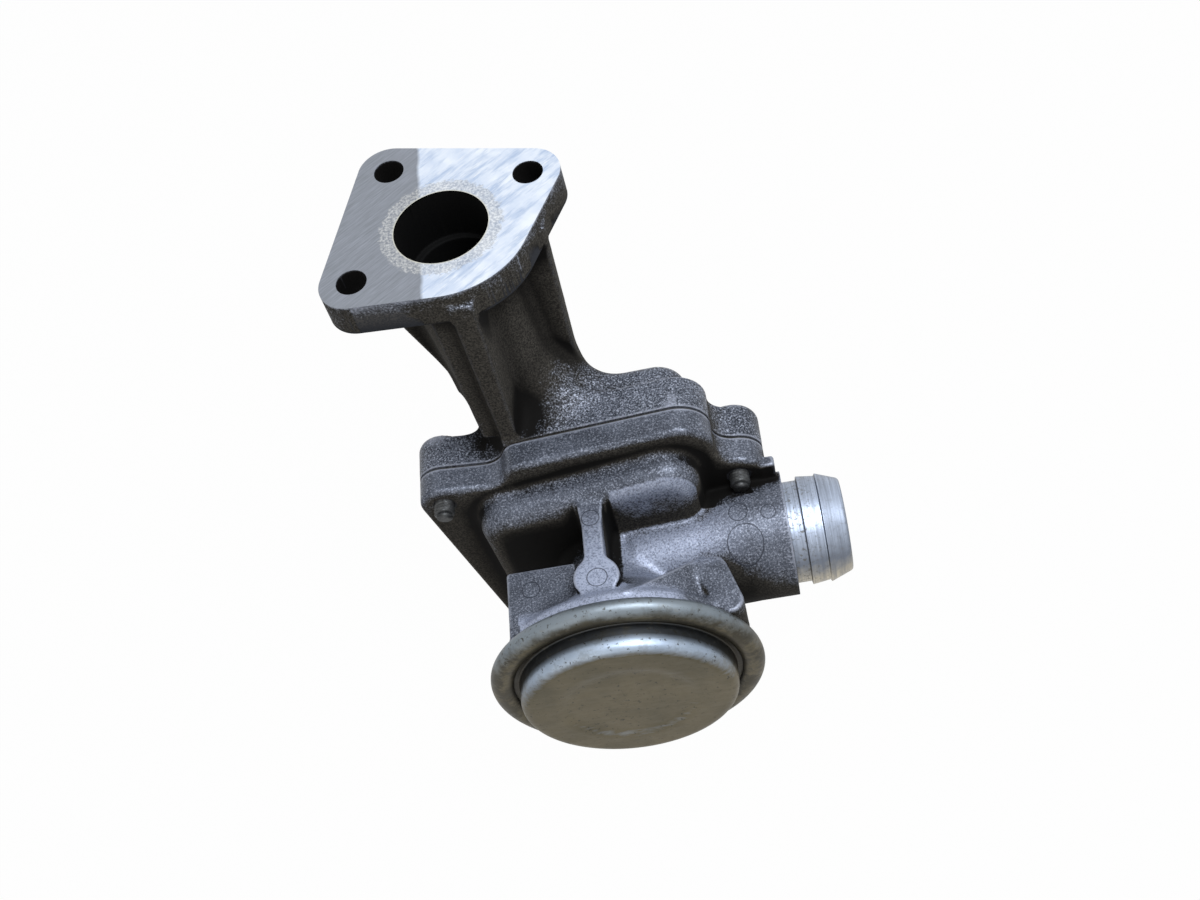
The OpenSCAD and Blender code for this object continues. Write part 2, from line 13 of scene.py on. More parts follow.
import bmesh
import bpy
import numpy as np
from mathutils import Matrix
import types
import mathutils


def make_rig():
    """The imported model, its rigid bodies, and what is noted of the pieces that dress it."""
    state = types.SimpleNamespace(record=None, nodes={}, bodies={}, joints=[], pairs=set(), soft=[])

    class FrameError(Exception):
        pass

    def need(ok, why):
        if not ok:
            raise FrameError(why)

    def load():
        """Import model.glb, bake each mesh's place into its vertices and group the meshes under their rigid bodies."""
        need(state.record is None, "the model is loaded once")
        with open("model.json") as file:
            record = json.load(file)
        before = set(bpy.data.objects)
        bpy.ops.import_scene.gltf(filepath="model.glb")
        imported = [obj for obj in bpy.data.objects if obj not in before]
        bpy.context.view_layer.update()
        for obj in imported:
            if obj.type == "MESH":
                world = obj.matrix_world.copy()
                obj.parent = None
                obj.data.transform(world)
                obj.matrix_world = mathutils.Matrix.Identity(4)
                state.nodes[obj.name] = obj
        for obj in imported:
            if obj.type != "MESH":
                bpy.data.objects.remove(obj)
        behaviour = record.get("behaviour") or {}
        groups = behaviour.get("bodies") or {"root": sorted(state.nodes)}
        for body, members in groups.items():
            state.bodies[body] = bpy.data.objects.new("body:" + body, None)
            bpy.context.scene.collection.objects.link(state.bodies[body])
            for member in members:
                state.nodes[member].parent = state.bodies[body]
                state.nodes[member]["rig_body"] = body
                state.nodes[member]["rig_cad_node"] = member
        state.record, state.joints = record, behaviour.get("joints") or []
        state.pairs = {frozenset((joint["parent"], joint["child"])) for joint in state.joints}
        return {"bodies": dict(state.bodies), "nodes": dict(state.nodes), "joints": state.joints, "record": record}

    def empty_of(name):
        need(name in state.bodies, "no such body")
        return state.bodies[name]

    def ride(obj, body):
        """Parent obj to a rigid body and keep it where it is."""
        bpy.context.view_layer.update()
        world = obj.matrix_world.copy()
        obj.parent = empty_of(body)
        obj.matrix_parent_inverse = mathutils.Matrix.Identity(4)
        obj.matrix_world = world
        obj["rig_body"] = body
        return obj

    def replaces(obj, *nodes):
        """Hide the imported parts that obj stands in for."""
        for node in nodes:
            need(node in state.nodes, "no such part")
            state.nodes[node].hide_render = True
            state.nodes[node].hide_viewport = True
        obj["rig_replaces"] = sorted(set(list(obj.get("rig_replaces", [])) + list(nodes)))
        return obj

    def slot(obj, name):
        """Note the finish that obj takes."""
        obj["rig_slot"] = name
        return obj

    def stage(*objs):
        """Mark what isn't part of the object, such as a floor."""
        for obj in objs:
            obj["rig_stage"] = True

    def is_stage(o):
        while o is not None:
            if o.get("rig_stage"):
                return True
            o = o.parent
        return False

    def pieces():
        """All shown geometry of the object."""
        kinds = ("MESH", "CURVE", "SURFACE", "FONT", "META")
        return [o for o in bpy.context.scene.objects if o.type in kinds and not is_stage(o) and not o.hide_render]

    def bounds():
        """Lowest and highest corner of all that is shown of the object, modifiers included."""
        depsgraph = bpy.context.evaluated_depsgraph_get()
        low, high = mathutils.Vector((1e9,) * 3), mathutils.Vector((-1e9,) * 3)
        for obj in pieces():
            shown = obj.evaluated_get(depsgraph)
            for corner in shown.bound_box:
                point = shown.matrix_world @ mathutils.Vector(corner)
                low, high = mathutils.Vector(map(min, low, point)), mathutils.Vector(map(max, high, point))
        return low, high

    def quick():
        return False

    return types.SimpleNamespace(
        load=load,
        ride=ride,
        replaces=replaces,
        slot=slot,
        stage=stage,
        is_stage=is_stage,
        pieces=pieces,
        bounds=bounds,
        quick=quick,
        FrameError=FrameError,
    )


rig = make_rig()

for old in list(bpy.data.objects):
    bpy.data.objects.remove(old)
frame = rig.load()
cad_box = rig.bounds()
MM = 0.001
VALVE_X, VALVE_Z = 21.0, -88.0
PAD_X, PAD_Y = 19.0, -57.4
print("bodies:", sorted(frame["bodies"]))
print("CAD box in metres:", cad_box)


# %% [markdown]
# ## Shapes as distance fields
#
# A casting is a few simple solids whose joins are rounded by the die. Such a shape is awkward
# to model face by face, but easy to describe by a distance field: a function that says, for
# each point in space, how far the surface is, with a minus sign inside. The union of two
# solids is the smaller of two distances, and a small bend in that minimum gives the fillet.
# The field is worked out on a grid of points as whole numpy arrays.

# %% Plane outlines
def belt_outline(circles, turns=144):
    """Outline of a belt laid round circles (x, y, r): for each of the outward directions, the
    point c + r n of the circle that reaches farthest along n."""
    c = np.array(circles, float)
    a = np.linspace(0, 2 * np.pi, turns, endpoint=False)
    n = np.stack([np.cos(a), np.sin(a)], 1)
    best = np.argmax(n @ c[:, :2].T + c[:, 2], axis=1)
    return c[best, :2] + c[best, 2:] * n


def outline_distance(u, v, outline):
    """Distance from points (u, v) to a closed outline: the nearest side gives its size, and an
    odd number of sides crossed on the way out makes it negative."""
    shape = np.broadcast(u, v).shape
    nearest = np.full(shape, 1e9, np.float32)
    inside = np.zeros(shape, bool)
    for (au, av), (bu, bv) in zip(outline, np.roll(outline, -1, axis=0)):
        eu, ev = bu - au, bv - av
        length = eu * eu + ev * ev
        if length < 1e-12:
            continue
        t = np.clip(((u - au) * eu + (v - av) * ev) / length, 0, 1)
        nearest = np.minimum(nearest, (u - au - t * eu) ** 2 + (v - av - t * ev) ** 2)
        inside ^= ((av > v) != (bv > v)) & (u < eu * (v - av) / (ev or 1e-12) + au)
    return np.where(inside, -1, 1) * np.sqrt(nearest)


# %% Rounded unions and cuts
def join(a, b, k):
    """Union with a fillet: the smaller distance, lowered where the two differ by less than k."""
    h = np.maximum(k - np.abs(a - b), 0)
    return np.minimum(a, b) - h * h / (4 * k)


def meet(a, b, r):
    """Intersection whose edge is rounded to radius r: the length of both distances past -r."""
    return np.minimum(-r, np.maximum(a, b)) + np.hypot(np.maximum(a + r, 0), np.maximum(b + r, 0))


def fillet_corner(a, b, r):
    """Union of two outlines whose inner corner is filled by an arc of radius r."""
    return np.maximum(r, np.minimum(a, b)) - np.hypot(np.maximum(r - a, 0), np.maximum(r - b, 0))


def between(w, low, high):
    """Distance to the layer between two planes across the axis w."""
    return np.maximum(low - w, w - high)


def taper(x, y, z, a, b, ra, rb):
    """Distance to a round bar from a to b: the distance from its centre line, less a radius that
    runs from ra to rb."""
    ax = [b[i] - a[i] for i in range(3)]
    t = ((x - a[0]) * ax[0] + (y - a[1]) * ax[1] + (z - a[2]) * ax[2]) / sum(c * c for c in ax)
    t = np.clip(t, 0, 1)
    gap = [p - a[i] - t * ax[i] for i, p in enumerate((x, y, z))]
    return np.sqrt(gap[0] ** 2 + gap[1] ** 2 + gap[2] ** 2) - (ra + (rb - ra) * t)


# %% [markdown]
# ## From a field to a mesh
#
# Surface nets turn the field into a closed mesh. Every grid cell that the surface passes
# through gets one vertex at the mean of its edge crossings, and every grid edge that crosses
# the surface gets one face round it. The vertices are then moved onto the surface along the
# field's slope, which also gives each vertex its exact normal.

# %% Surface nets
EDGES = [(a, b) for a in range(8) for b in range(a + 1, 8) if (a ^ b) in (1, 2, 4)]


def surface_net(field):
    """Vertices in grid units and outward quads of the field's zero surface, in array steps."""
    inside = field < 0
    n = inside.shape
    count = sum(inside[i:n[0] - 1 + i, j:n[1] - 1 + j, k:n[2] - 1 + k].astype(np.int8)
                for i in (0, 1) for j in (0, 1) for k in (0, 1))
    active = (count > 0) & (count < 8)
    cell = np.argwhere(active)
    number = np.full(active.shape, -1, np.int32)
    number[active] = np.arange(len(cell))
    total = np.zeros((len(cell), 3))
    crossings = np.zeros(len(cell))
    for a, b in EDGES:
        pa = np.array([a & 1, a >> 1 & 1, a >> 2])
        pb = np.array([b & 1, b >> 1 & 1, b >> 2])
        fa = field[tuple((cell + pa).T)]
        fb = field[tuple((cell + pb).T)]
        cross = (fa < 0) != (fb < 0)
        t = np.where(cross, fa / np.where(fa == fb, 1, fa - fb), 0)
        total += cross[:, None] * (pa + t[:, None] * (pb - pa))
        crossings += cross
    quads = []
    for axis in range(3):
        u, v = [i for i in range(3) if i != axis]
        low = [slice(1, -1)] * 3
        high = [slice(1, -1)] * 3
        low[axis], high[axis] = slice(0, -1), slice(1, None)
        start, end = inside[tuple(low)], inside[tuple(high)]
        where = np.argwhere(start != end)
        out = start[tuple(where.T)]
        where[:, u] += 1
        where[:, v] += 1
        ring = []
        for du, dv in ((1, 1), (0, 1), (0, 0), (1, 0)):
            step = where.copy()
            step[:, u] -= du
            step[:, v] -= dv
            ring.append(number[tuple(step.T)])
        quad = np.stack(ring, 1)
        flip = out if axis == 1 else ~out
        quad[flip] = quad[flip][:, ::-1]
        quads.append(quad)
    return cell + total / crossings[:, None], np.concatenate(quads)


# %% Reading a field between its grid points
class Field:
    """A distance field on a regular grid: its lowest corner, its step and its values."""

    def __init__(self, low, high, step, shape):
        axes = [np.arange(l, h + step, step, dtype=np.float32) for l, h in zip(low, high)]
        self.low, self.step = np.array(low, float), step
        self.values = np.ascontiguousarray(np.broadcast_to(
            shape(axes[0][:, None, None], axes[1][None, :, None], axes[2][None, None, :]),
            [len(a) for a in axes]), np.float32)

    def at(self, points):
        """Value at each point, weighted from the eight grid points round it. Outside the grid it
        is the value at the nearest point of the grid, and the way back to it is added."""
        free = (points - self.low) / self.step
        g = np.clip(free, 0, np.array(self.values.shape) - 1.001)
        beyond = np.linalg.norm(free - g, axis=1) * self.step
        i = g.astype(int)
        f = g - i
        total = np.zeros(len(points))
        for a in (0, 1):
            for b in (0, 1):
                for c in (0, 1):
                    w = (f[:, 0] if a else 1 - f[:, 0]) * (f[:, 1] if b else 1 - f[:, 1]) * (
                        f[:, 2] if c else 1 - f[:, 2])
                    total += w * self.values[i[:, 0] + a, i[:, 1] + b, i[:, 2] + c]
        return total + np.where(beyond > 0.01 * self.step, beyond, 0)

    def slope(self, points, reach):
        """Direction in which the field grows: its difference across reach along each axis."""
        g = np.stack([self.at(points + d) - self.at(points - d) for d in np.eye(3) * reach], 1)
        return g / np.maximum(np.linalg.norm(g, axis=1, keepdims=True), 1e-9)

    def bend(self, points, reach):
        """How convex the surface is: the mean field round a point at distance reach."""
        around = sum(self.at(points + s * d) for d in np.eye(3) * reach for s in (-1, 1)) / 6
        return around / reach

    def shelter(self, points, normals):
        """How far a point lies in a recess: the room missing above it at four heights."""
        total = 0
        for h, weight in ((1.5, 0.2), (4, 0.3), (8, 0.3), (14, 0.2)):
            total = total + weight * np.clip(1 - self.at(points + normals * h) / h, 0, 1)
        return total


# %% Meshes from arrays
def new_mesh(name, points, faces, smooth=True):
    """Object at the origin from points in millimetres and faces of equal size."""
    faces = np.asarray(faces, np.int32)
    mesh = bpy.data.meshes.new(name)
    mesh.vertices.add(len(points))
    mesh.vertices.foreach_set("co", np.asarray(points, np.float32).ravel() * MM)
    mesh.loops.add(faces.size)
    mesh.loops.foreach_set("vertex_index", faces.ravel())
    mesh.polygons.add(len(faces))
    starts = np.arange(0, faces.size, faces.shape[1], dtype=np.int32)
    mesh.polygons.foreach_set("loop_start", starts)
    mesh.polygons.foreach_set("use_smooth", np.full(len(faces), smooth))
    mesh.update(calc_edges=True)
    piece = bpy.data.objects.new(name, mesh)
    bpy.context.scene.collection.objects.link(piece)
    return piece


def points_of(piece):
    """Vertices of a piece, in millimetres."""
    co = np.zeros(len(piece.data.vertices) * 3, np.float32)
    piece.data.vertices.foreach_get("co", co)
    return co.reshape(-1, 3).astype(float) / MM


def add_attribute(piece, name, values):
    """Keeps one number per vertex, for a material to read."""
    layer = piece.data.attributes.new(name, "FLOAT", "POINT")
    layer.data.foreach_set("value", np.asarray(values, np.float32))


def apply_modifiers(piece):
    """Puts the result of the piece's modifiers into its mesh."""
    shown = piece.evaluated_get(bpy.context.evaluated_depsgraph_get())
    mesh = bpy.data.meshes.new_from_object(shown)
    piece.modifiers.clear()
    piece.data = mesh


# %% Exact normals
def set_normals(piece, normals, agree=0.8):
    """Gives each corner of each face the exact normal of its vertex, or the face's own normal
    where the two differ by more than about 37 degrees, at a machined edge."""
    mesh = piece.data
    corner = np.zeros(len(mesh.loops), np.int32)
    mesh.loops.foreach_get("vertex_index", corner)
    sides = np.zeros(len(mesh.polygons), np.int32)
    mesh.polygons.foreach_get("loop_total", sides)
    own = np.zeros(len(mesh.polygons) * 3, np.float32)
    mesh.polygons.foreach_get("normal", own)
    own = np.repeat(own.reshape(-1, 3), sides, axis=0)
    exact = normals[corner]
    exact = np.where((exact * own).sum(1, keepdims=True) > agree, exact, own)
    mesh.normals_split_custom_set(exact.tolist())


# %% Crisp machined edges
def pull_to_crease(points, wall, face, reach):
    """Moves the vertices near a machined edge onto it. An edge is where two distances, wall and
    face, are both zero, so each vertex within reach steps back along both slopes. The face is a
    plane, and the vertices beside the edge that lie almost in it are laid into it."""
    near = np.flatnonzero(np.abs(face(*points.T)) < reach)
    near = near[np.abs(wall(*points[near].T)) < 4 * reach]
    flat = near[np.abs(face(*points[near].T)) < 0.3 * reach]
    for axis in range(3):
        unit = np.eye(3)[axis] * 0.01
        if np.ptp(face(*(points[flat] + unit).T) - face(*points[flat].T)) < 1e-6:
            change = (face(*(points[flat[:1]] + unit).T) - face(*points[flat[:1]].T)) / 0.01
            points[flat, axis] -= np.rint(change[0]) * face(*points[flat].T)
    near = near[np.abs(wall(*points[near].T)) < reach]
    for _ in range(2):
        for distance in (wall, face):
            p = points[near]
            slope = np.stack([(distance(*(p + d).T) - distance(*(p - d).T)) / 0.02
                              for d in np.eye(3) * 0.01], 1)
            slope /= np.maximum((slope ** 2).sum(1, keepdims=True), 1e-6)
            points[near] = p - slope * distance(*p.T)[:, None]
    return len(near)


# %% What the finish reads from a casting
def rise(v, start, end):
    """Zero up to start and one from end on, in a straight line between them."""
    return np.clip((v - start) / (end - start), 0, 1)


def add_wear_and_shade(piece, field, points, normals):
    """Attributes for the finish, which paints dust and shade from them. edge and shelter come from the field, up and
    front from the normal; from them the finish darkens recesses, front faces and faces turned from up, partly as
    painted shade, and lightens edges, partly as a painted highlight. bare marks where the dust and the painted shade
    are lessened: the top of the inlet duct and the foot of the oval boss. clean is rubbed metal: the pad, the collar
    above the ring and part of the duct. overhead is how far the sky is hidden, which the finish paints as shade: the
    room missing along a line that goes up."""
    x, y, z = points.T
    h = -y
    duct = rise(z, -96, -77) * (x > 24) * (h > 36) * rise(h, 54, 52)
    foot = rise(np.hypot(x - 44, y + 57), 10.5, 3.5) * (z > -76)
    pad = rise(np.abs(x - PAD_X), 8.5, 6) * (z > -66)
    on_collar = np.hypot(x - VALVE_X, z - VALVE_Z) < 29.8
    collar = rise(h, 59.8, 62.2) * on_collar * rise(x, 39, 36)
    clean = np.maximum(rise(h, 37, 53) * np.maximum(pad, collar),
                       duct * (0.05 + 0.55 * rise(x, 54, 42)))
    room = np.full(len(points), 1.0)
    for reach in (4.0, 8.0, 14.0, 22.0, 32.0):
        above = points + normals * 1.2 + np.array((-0.3, 0.1, 1.0)) * reach
        room = np.minimum(room, field.at(above) / (0.4 * reach))
    for key, values in (("edge", field.bend(points, 0.9) - field.at(points) / 0.9),
                        ("shelter", field.shelter(points, normals)),
                        ("up", normals[:, 2]), ("front", -normals[:, 1]), ("clean", clean),
                        ("bare", np.maximum(duct, 0.7 * foot)),
                        ("overhead", 1 - np.clip(room, 0, 1))):
        add_attribute(piece, key, values)


# %% A casting from its field
MOST_TRIANGLES = 190000
BEND_REACH, BEND_LIMIT = 1.2, 0.05
BOX_MARGIN = 2e-4


def casting(name, low, high, step, shape, creases):
    """Meshes a field and thins its flats. Curved places keep every vertex."""
    field = Field(low, high, step, shape)
    points, quads = surface_net(field.values)
    points = field.low + points * step
    for _ in range(2):
        points = points - field.slope(points, step) * field.at(points)[:, None]
    pulled = sum(pull_to_crease(points, wall, face, 0.95 * step) for wall, face in creases)
    print(name, "vertices pulled onto machined edges:", pulled)
    piece = new_mesh(name, points, quads)
    curved = np.abs(field.bend(points, BEND_REACH) - field.at(points) / BEND_REACH)
    group = piece.vertex_groups.new(name="flat")
    levels = np.clip(1 - curved / BEND_LIMIT, 0.02, 1).round(1)
    for level in np.unique(levels):
        group.add(np.flatnonzero(levels == level).tolist(), float(max(level, 0.02)), "REPLACE")
    triangles = 2 * len(quads)
    if triangles > MOST_TRIANGLES:
        thin = piece.modifiers.new("thin", "DECIMATE")
        thin.ratio = MOST_TRIANGLES / triangles
        thin.vertex_group = "flat"
        thin.vertex_group_factor = 1.0
        apply_modifiers(piece)
    low_end, high_end = (np.array(corner) / MM for corner in cad_box)
    points = np.clip(points_of(piece), low_end + BOX_MARGIN, high_end - BOX_MARGIN)
    piece.data.vertices.foreach_set("co", np.asarray(points, np.float32).ravel() * MM)
    normals = field.slope(points, step * 0.7)
    set_normals(piece, normals)
    add_wear_and_shade(piece, field, points, normals)
    print(name, "net:", triangles, "triangles, kept:", len(piece.data.polygons))
    return piece, points


# %% [markdown]
# ## The joint between the castings
#
# Both castings and the gasket share one outline: a belt round the four ears, joined to a second
# belt round the upper shoulders, with an arc in each inner corner.

# %% Outline of the joint
EARS = [(-16.4, -63.9, 5.9), (54.6, -72.6, 6.7), (43.5, -120.3, 6.7), (-5.5, -120.3, 6.7)]
SCREWS = [(-16.4, -63.3), (54.6, -71.6), (43.5, -120.3), (-5.5, -120.3)]
SHOULDERS = [(4, -57, 4), (41.5, -58.7, 8.5), (42.7, -95, 7.4), (1.6, -85, 5.2)]
COVER_FACE, HOUSING_FACE = -21.6, -22.4
RIM_BACK, RIM_FRONT = -12.4, -29.4
ears_belt = belt_outline(EARS)
shoulders_belt = belt_outline(SHOULDERS)


def joint_distance(x, z):
    """Distance to the joint's outline in the plane of x and z."""
    return fillet_corner(outline_distance(x, z, ears_belt),
                         outline_distance(x, z, shoulders_belt), 5)


def rounded_box(x, z, cx, cz, w, h, r):
    """Distance to a rectangle w by h round (cx, cz) with corners of radius r."""
    u, v = np.abs(x - cx) - w / 2 + r, np.abs(z - cz) - h / 2 + r
    return np.minimum(np.maximum(u, v), 0) + np.hypot(np.maximum(u, 0), np.maximum(v, 0)) - r


REED_X, REED_Z = 19.0, -89.5
print("ears span", EARS[1][0] - EARS[0][0] + EARS[0][2] + EARS[1][2], "mm")


# %% [markdown]
# ## The outlet casting
#
# This is the upper half: a machined flange, a leaning neck with a front rib, side webs and a
# back web, and a cover with four ears and a low dome. The die leaves fillets of two to three
# millimetres inside corners and a soft edge of about one millimetre outside.

# %% Flange, neck and webs
FLANGE_T = 8.5
HOLES = [(20.208, 11.667), (-11.667, 20.208), (-20.208, -11.667)]
flange_belt = belt_outline([(0, 0, 20.4)] + [(hx, hy, 7.4) for hx, hy in HOLES])
LEAN = math.radians(5)


def neck_axis(x, y, z):
    """Distance from the neck's leaning axis, and the height along it from the flange."""
    h = z + FLANGE_T
    along = -h * math.cos(LEAN) + x * math.sin(LEAN)
    across = x * math.cos(LEAN) + h * math.sin(LEAN)
    return np.sqrt(across ** 2 + y ** 2), along


def neck_solids(x, y, z):
    """Neck, front rib, side webs and back web, joined with fillets."""
    rho, along = neck_axis(x, y, z)
    neck = np.maximum(rho - (13.4 - along / 57), between(along, -1, 57))
    flank = (y + 21.3) * 0.2143
    rib = meet((np.abs(x - 2.7) - 2.3 - 0.015 * (z + 28) - flank) * 0.978, -21.3 - y, 0.8)
    left = meet(np.maximum(-4.7 - 0.03 * (z + FLANGE_T) - x - flank, x - 2.7), -19.3 - y, 0.8)
    rib = join(rib, left, 0.7)
    rib = np.maximum(np.maximum(rib, y + 3), between(z, -53, -4))
    webs = outline_distance(x, z, np.array([(-22.7, -4), (-22.7, -8.5), (-10.4, -46), (-9.6, -54),
                                            (20.9, -54), (22, -8.5), (22, -4)]))
    webs = meet(webs, np.abs(y) - 3, 1.0)
    back = outline_distance(y, z, np.array([(0, -4), (20, -4), (20, -8.5), (15, -52), (14, -62),
                                            (0, -62)]))
    back = meet(back, np.abs(x - 1) - 3, 1.0)
    return join(join(neck, rib, 1.6), join(webs, back, 2), 2.4)


# %% The cover and the whole outlet casting
DOME = [(5, -113, 10), (37, -113, 10), (38.2, -60.0, 7.4), (5.5, -58, 4.6)]
DOME_TOP = [-5.0, 0.2]


def dome_distance(x, y, z, shrink):
    """Low dome behind the rim, rounded to 4 mm at its edge. It follows the rim's upper edge with
    a step of less than a millimetre, and deepens below it along the curve t * t * (3 - 2t)."""
    plan = outline_distance(x, z, belt_outline([(cx, cz, r - shrink) for cx, cz, r in DOME]))
    t = np.clip((-62 - z) / 22, 0, 1)
    back = DOME_TOP[0] + (DOME_TOP[1] - DOME_TOP[0]) * t * t * (3 - 2 * t)
    return meet(plan, y - back + shrink, 4)


def outlet_shape(x, y, z):
    """Solids of the outlet casting less its bore, passage, chamber and holes."""
    flange = np.maximum(outline_distance(x, y, flange_belt), between(z, -FLANGE_T, 0))
    rim = joint_distance(x, z)
    cover = np.maximum(meet(rim, y - RIM_BACK, 0.9), COVER_FACE - y)
    for sx, sz, r in EARS[:2]:
        boss = meet(np.hypot(x - sx, z - sz) - r + 0.4, y - RIM_BACK - 0.9, 0.8)
        cover = join(cover, np.maximum(boss, COVER_FACE + 2 - y), 0.8)
    dome = np.maximum(dome_distance(x, y, z, 0), COVER_FACE + 2 - y)
    root = taper(x, y, z, (4, 0, -54), (16, -22, -91), 12.4, 15.5)
    root = join(root, taper(x, y, z, (8, -1, -50), (24, -15, -72), 10.5, 11.5), 4)
    root = np.maximum(root, COVER_FACE + 2 - y)
    cover = join(join(cover, dome, 0.8), root, 6)
    neck = np.maximum(neck_solids(x, y, z), COVER_FACE - y)
    solid = join(join(cover, neck, 3), flange, 1.6)
    rho, along = neck_axis(x, y, z)
    bore = np.maximum(np.hypot(x, y) - 10.75, -14 - z)
    passage = np.maximum(rho - 9.4, between(along, 0, 57))
    box = np.maximum(rounded_box(x, z, REED_X, REED_Z, 41, 51, 3), y - RIM_BACK - 1)
    hollow = dome_distance(x, y, z, 2.6)
    turn = taper(x, y, z, (4, 0, -54), (16, -20, -90), 9.4, 11.5)
    for inner in (bore, passage, box, np.maximum(hollow, -14 - y), turn):
        solid = np.maximum(solid, -inner)
    for hx, hy in HOLES:
        hole = np.maximum(np.hypot(x - hx, y - hy) - 3.5, -FLANGE_T - 4 - z)
        solid = np.maximum(solid, -hole)
    for sx, sz in SCREWS:
        rs = np.hypot(x - sx, z - sz)
        solid = meet(solid, -np.minimum(rs - 2.75, np.maximum(rs - 4.3, RIM_BACK - 4 - y)), 0.35)
    return np.maximum(solid, -127 - z)


step = 0.8 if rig.quick() else 0.42
flange_wall = lambda x, y, z: outline_distance(x, y, flange_belt)
flange_face = lambda x, y, z: z
outlet_creases = [(flange_wall, flange_face), (flange_wall, lambda x, y, z: z + FLANGE_T),
                  (lambda x, y, z: np.hypot(x, y) - 10.75, flange_face),
                  (lambda x, y, z: joint_distance(x, z), lambda x, y, z: y - COVER_FACE)]
outlet_creases += [(lambda x, y, z, hx=hx, hy=hy: np.hypot(x - hx, y - hy) - 3.5, flange_face)
                   for hx, hy in HOLES]
outlet, outlet_points = casting("outlet_casting", (-29, -23.5, -128.5), (62.5, 29, 1.5), step,
                                outlet_shape, outlet_creases)
rho, along = neck_axis(*outlet_points.T)
in_bore = (np.hypot(outlet_points[:, 0], outlet_points[:, 1]) < 10.85) & (outlet_points[:, 2] > -16)
in_bore |= (rho < 9.6) & (along > 0) & (along < 56)
add_attribute(outlet, "soot", in_bore * 1.0)
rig.ride(outlet, "housing")
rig.replaces(outlet, "outlet_housing")
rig.slot(outlet, "casting")


# %% [markdown]
# ## The valve casting
#
# The lower casting takes the most care. A rounded bulge over the reeds, the chamber of the
# valve, the inlet duct with its boss, a raised pad, a block, an oval boss and a thin web run
# into each other. Its wide conical back carries the collar that the ring is crimped to.

# %% Solids of the valve casting
INLET_Y, INLET_END = -37.5, 64.3
BULGE = [(2, -111, 8.5), (37, -111, 8.5), (37, -65, 8.5), (-0.5, -70.8, 8.5)]


def valve_solids(x, y, z):
    """All outer forms of the valve casting, joined with the fillets of the die."""
    rim = joint_distance(x, z)
    rim = np.maximum(meet(rim, RIM_FRONT - y, 1.6), y - HOUSING_FACE)
    plan = outline_distance(x, z, belt_outline(BULGE))
    bulge = np.maximum(meet(plan, -38 - y, 5.5), y + 24)
    rho = np.hypot(x - VALVE_X, z - VALVE_Z)
    h = -y
    room = np.maximum(rho - 12.6, between(h, 24, 50))
    cone = ((rho - 17.0) * 9.7 - (h - 52.5) * 10) / 13.93
    cone = np.maximum(np.maximum(cone, rho - 29), between(h, 46, 68.5))
    collar = meet(rho - 29, 62.2 - h, 2.2)
    pocket = taper(x, y, z, (42.6, -60.8, -64.4), (45, -65, -68), 2.2, 2.0)
    collar = np.maximum(collar, -pocket)
    lip = np.maximum(rho - 30.2, between(h, 67.7, 68.5))
    collar = np.minimum(np.maximum(collar, h - 68.5), lip)
    duct = taper(x, y, z, (25, -41, VALVE_Z), (56, INLET_Y, VALVE_Z), 13.2, 15.3)
    duct = np.maximum(meet(duct, 25 - x, 2.6), x - 56)
    boss = np.maximum(np.hypot(y - INLET_Y, z - VALVE_Z) - 15.3, between(x, 55, INLET_END))
    spine = np.abs(x - PAD_X) - 2.4 - 0.14 * np.clip(y + 43, 0, 5)
    spine = np.maximum(spine, between(y, PAD_Y, -36))
    head = np.hypot(x - PAD_X, y - PAD_Y) - 5.4
    pad = meet(join(spine, head, 1.5), between(z, -77, -61), 0.6)
    oval = meet(outline_distance(x, y, belt_outline([(45.0, -55.2, 3.7), (47.9, -63.9, 3.3)])),
                between(z, -84, -69.9), 0.9)
    wx, wy, wz = x - 32.5, y + 58.6, z + 64
    web = np.maximum(0.622 * wx - 0.089 * wy + 0.778 * wz - 0.4, 0.788 * wy - 0.616 * wx - 0.1)
    web = np.maximum(web, 0.006 * wx + 0.668 * wy + 0.744 * wz)
    web = np.maximum(np.maximum(web, -64 - y), np.maximum(between(x, 24, 43.5), -84 - z))
    root = np.maximum(between(x, 40, 46.5), between(y, -61.5, -53))
    root = np.maximum(root, between(z, -84, -71.2))
    web = join(web, root, 0.8)
    block = meet(between(x, -3.2, 13.6), between(y, -66.7, -48.5), 0.8)
    block = meet(block, between(z, -108, -68), 0.6)
    block = meet(block, 6.3 - np.hypot(x - PAD_X, y - PAD_Y), 0.3)
    lug = meet(between(x, 59.6, 63.4), between(y, -29.4, -26.5), 0.6)
    lug = meet(lug, between(z, -79, -69.5), 0.6)
    wall = np.maximum(np.hypot(x - 43.5, z + 81) - 3.2, between(y, -62.5, -44))
    body = join(join(rim, bulge, 2.4), room, 3)
    body = join(body, np.minimum(duct, boss), 1.6)
    back = join(join(cone, room, 3), collar, 1.2)
    body = join(body, back, 2.5)
    for form, k in ((pad, 1.4), (block, 2.2), (web, 0.8), (oval, 2.0), (wall, 2), (lug, 0.8)):
        body = join(body, form, k)
    return np.maximum(body, y - HOUSING_FACE)


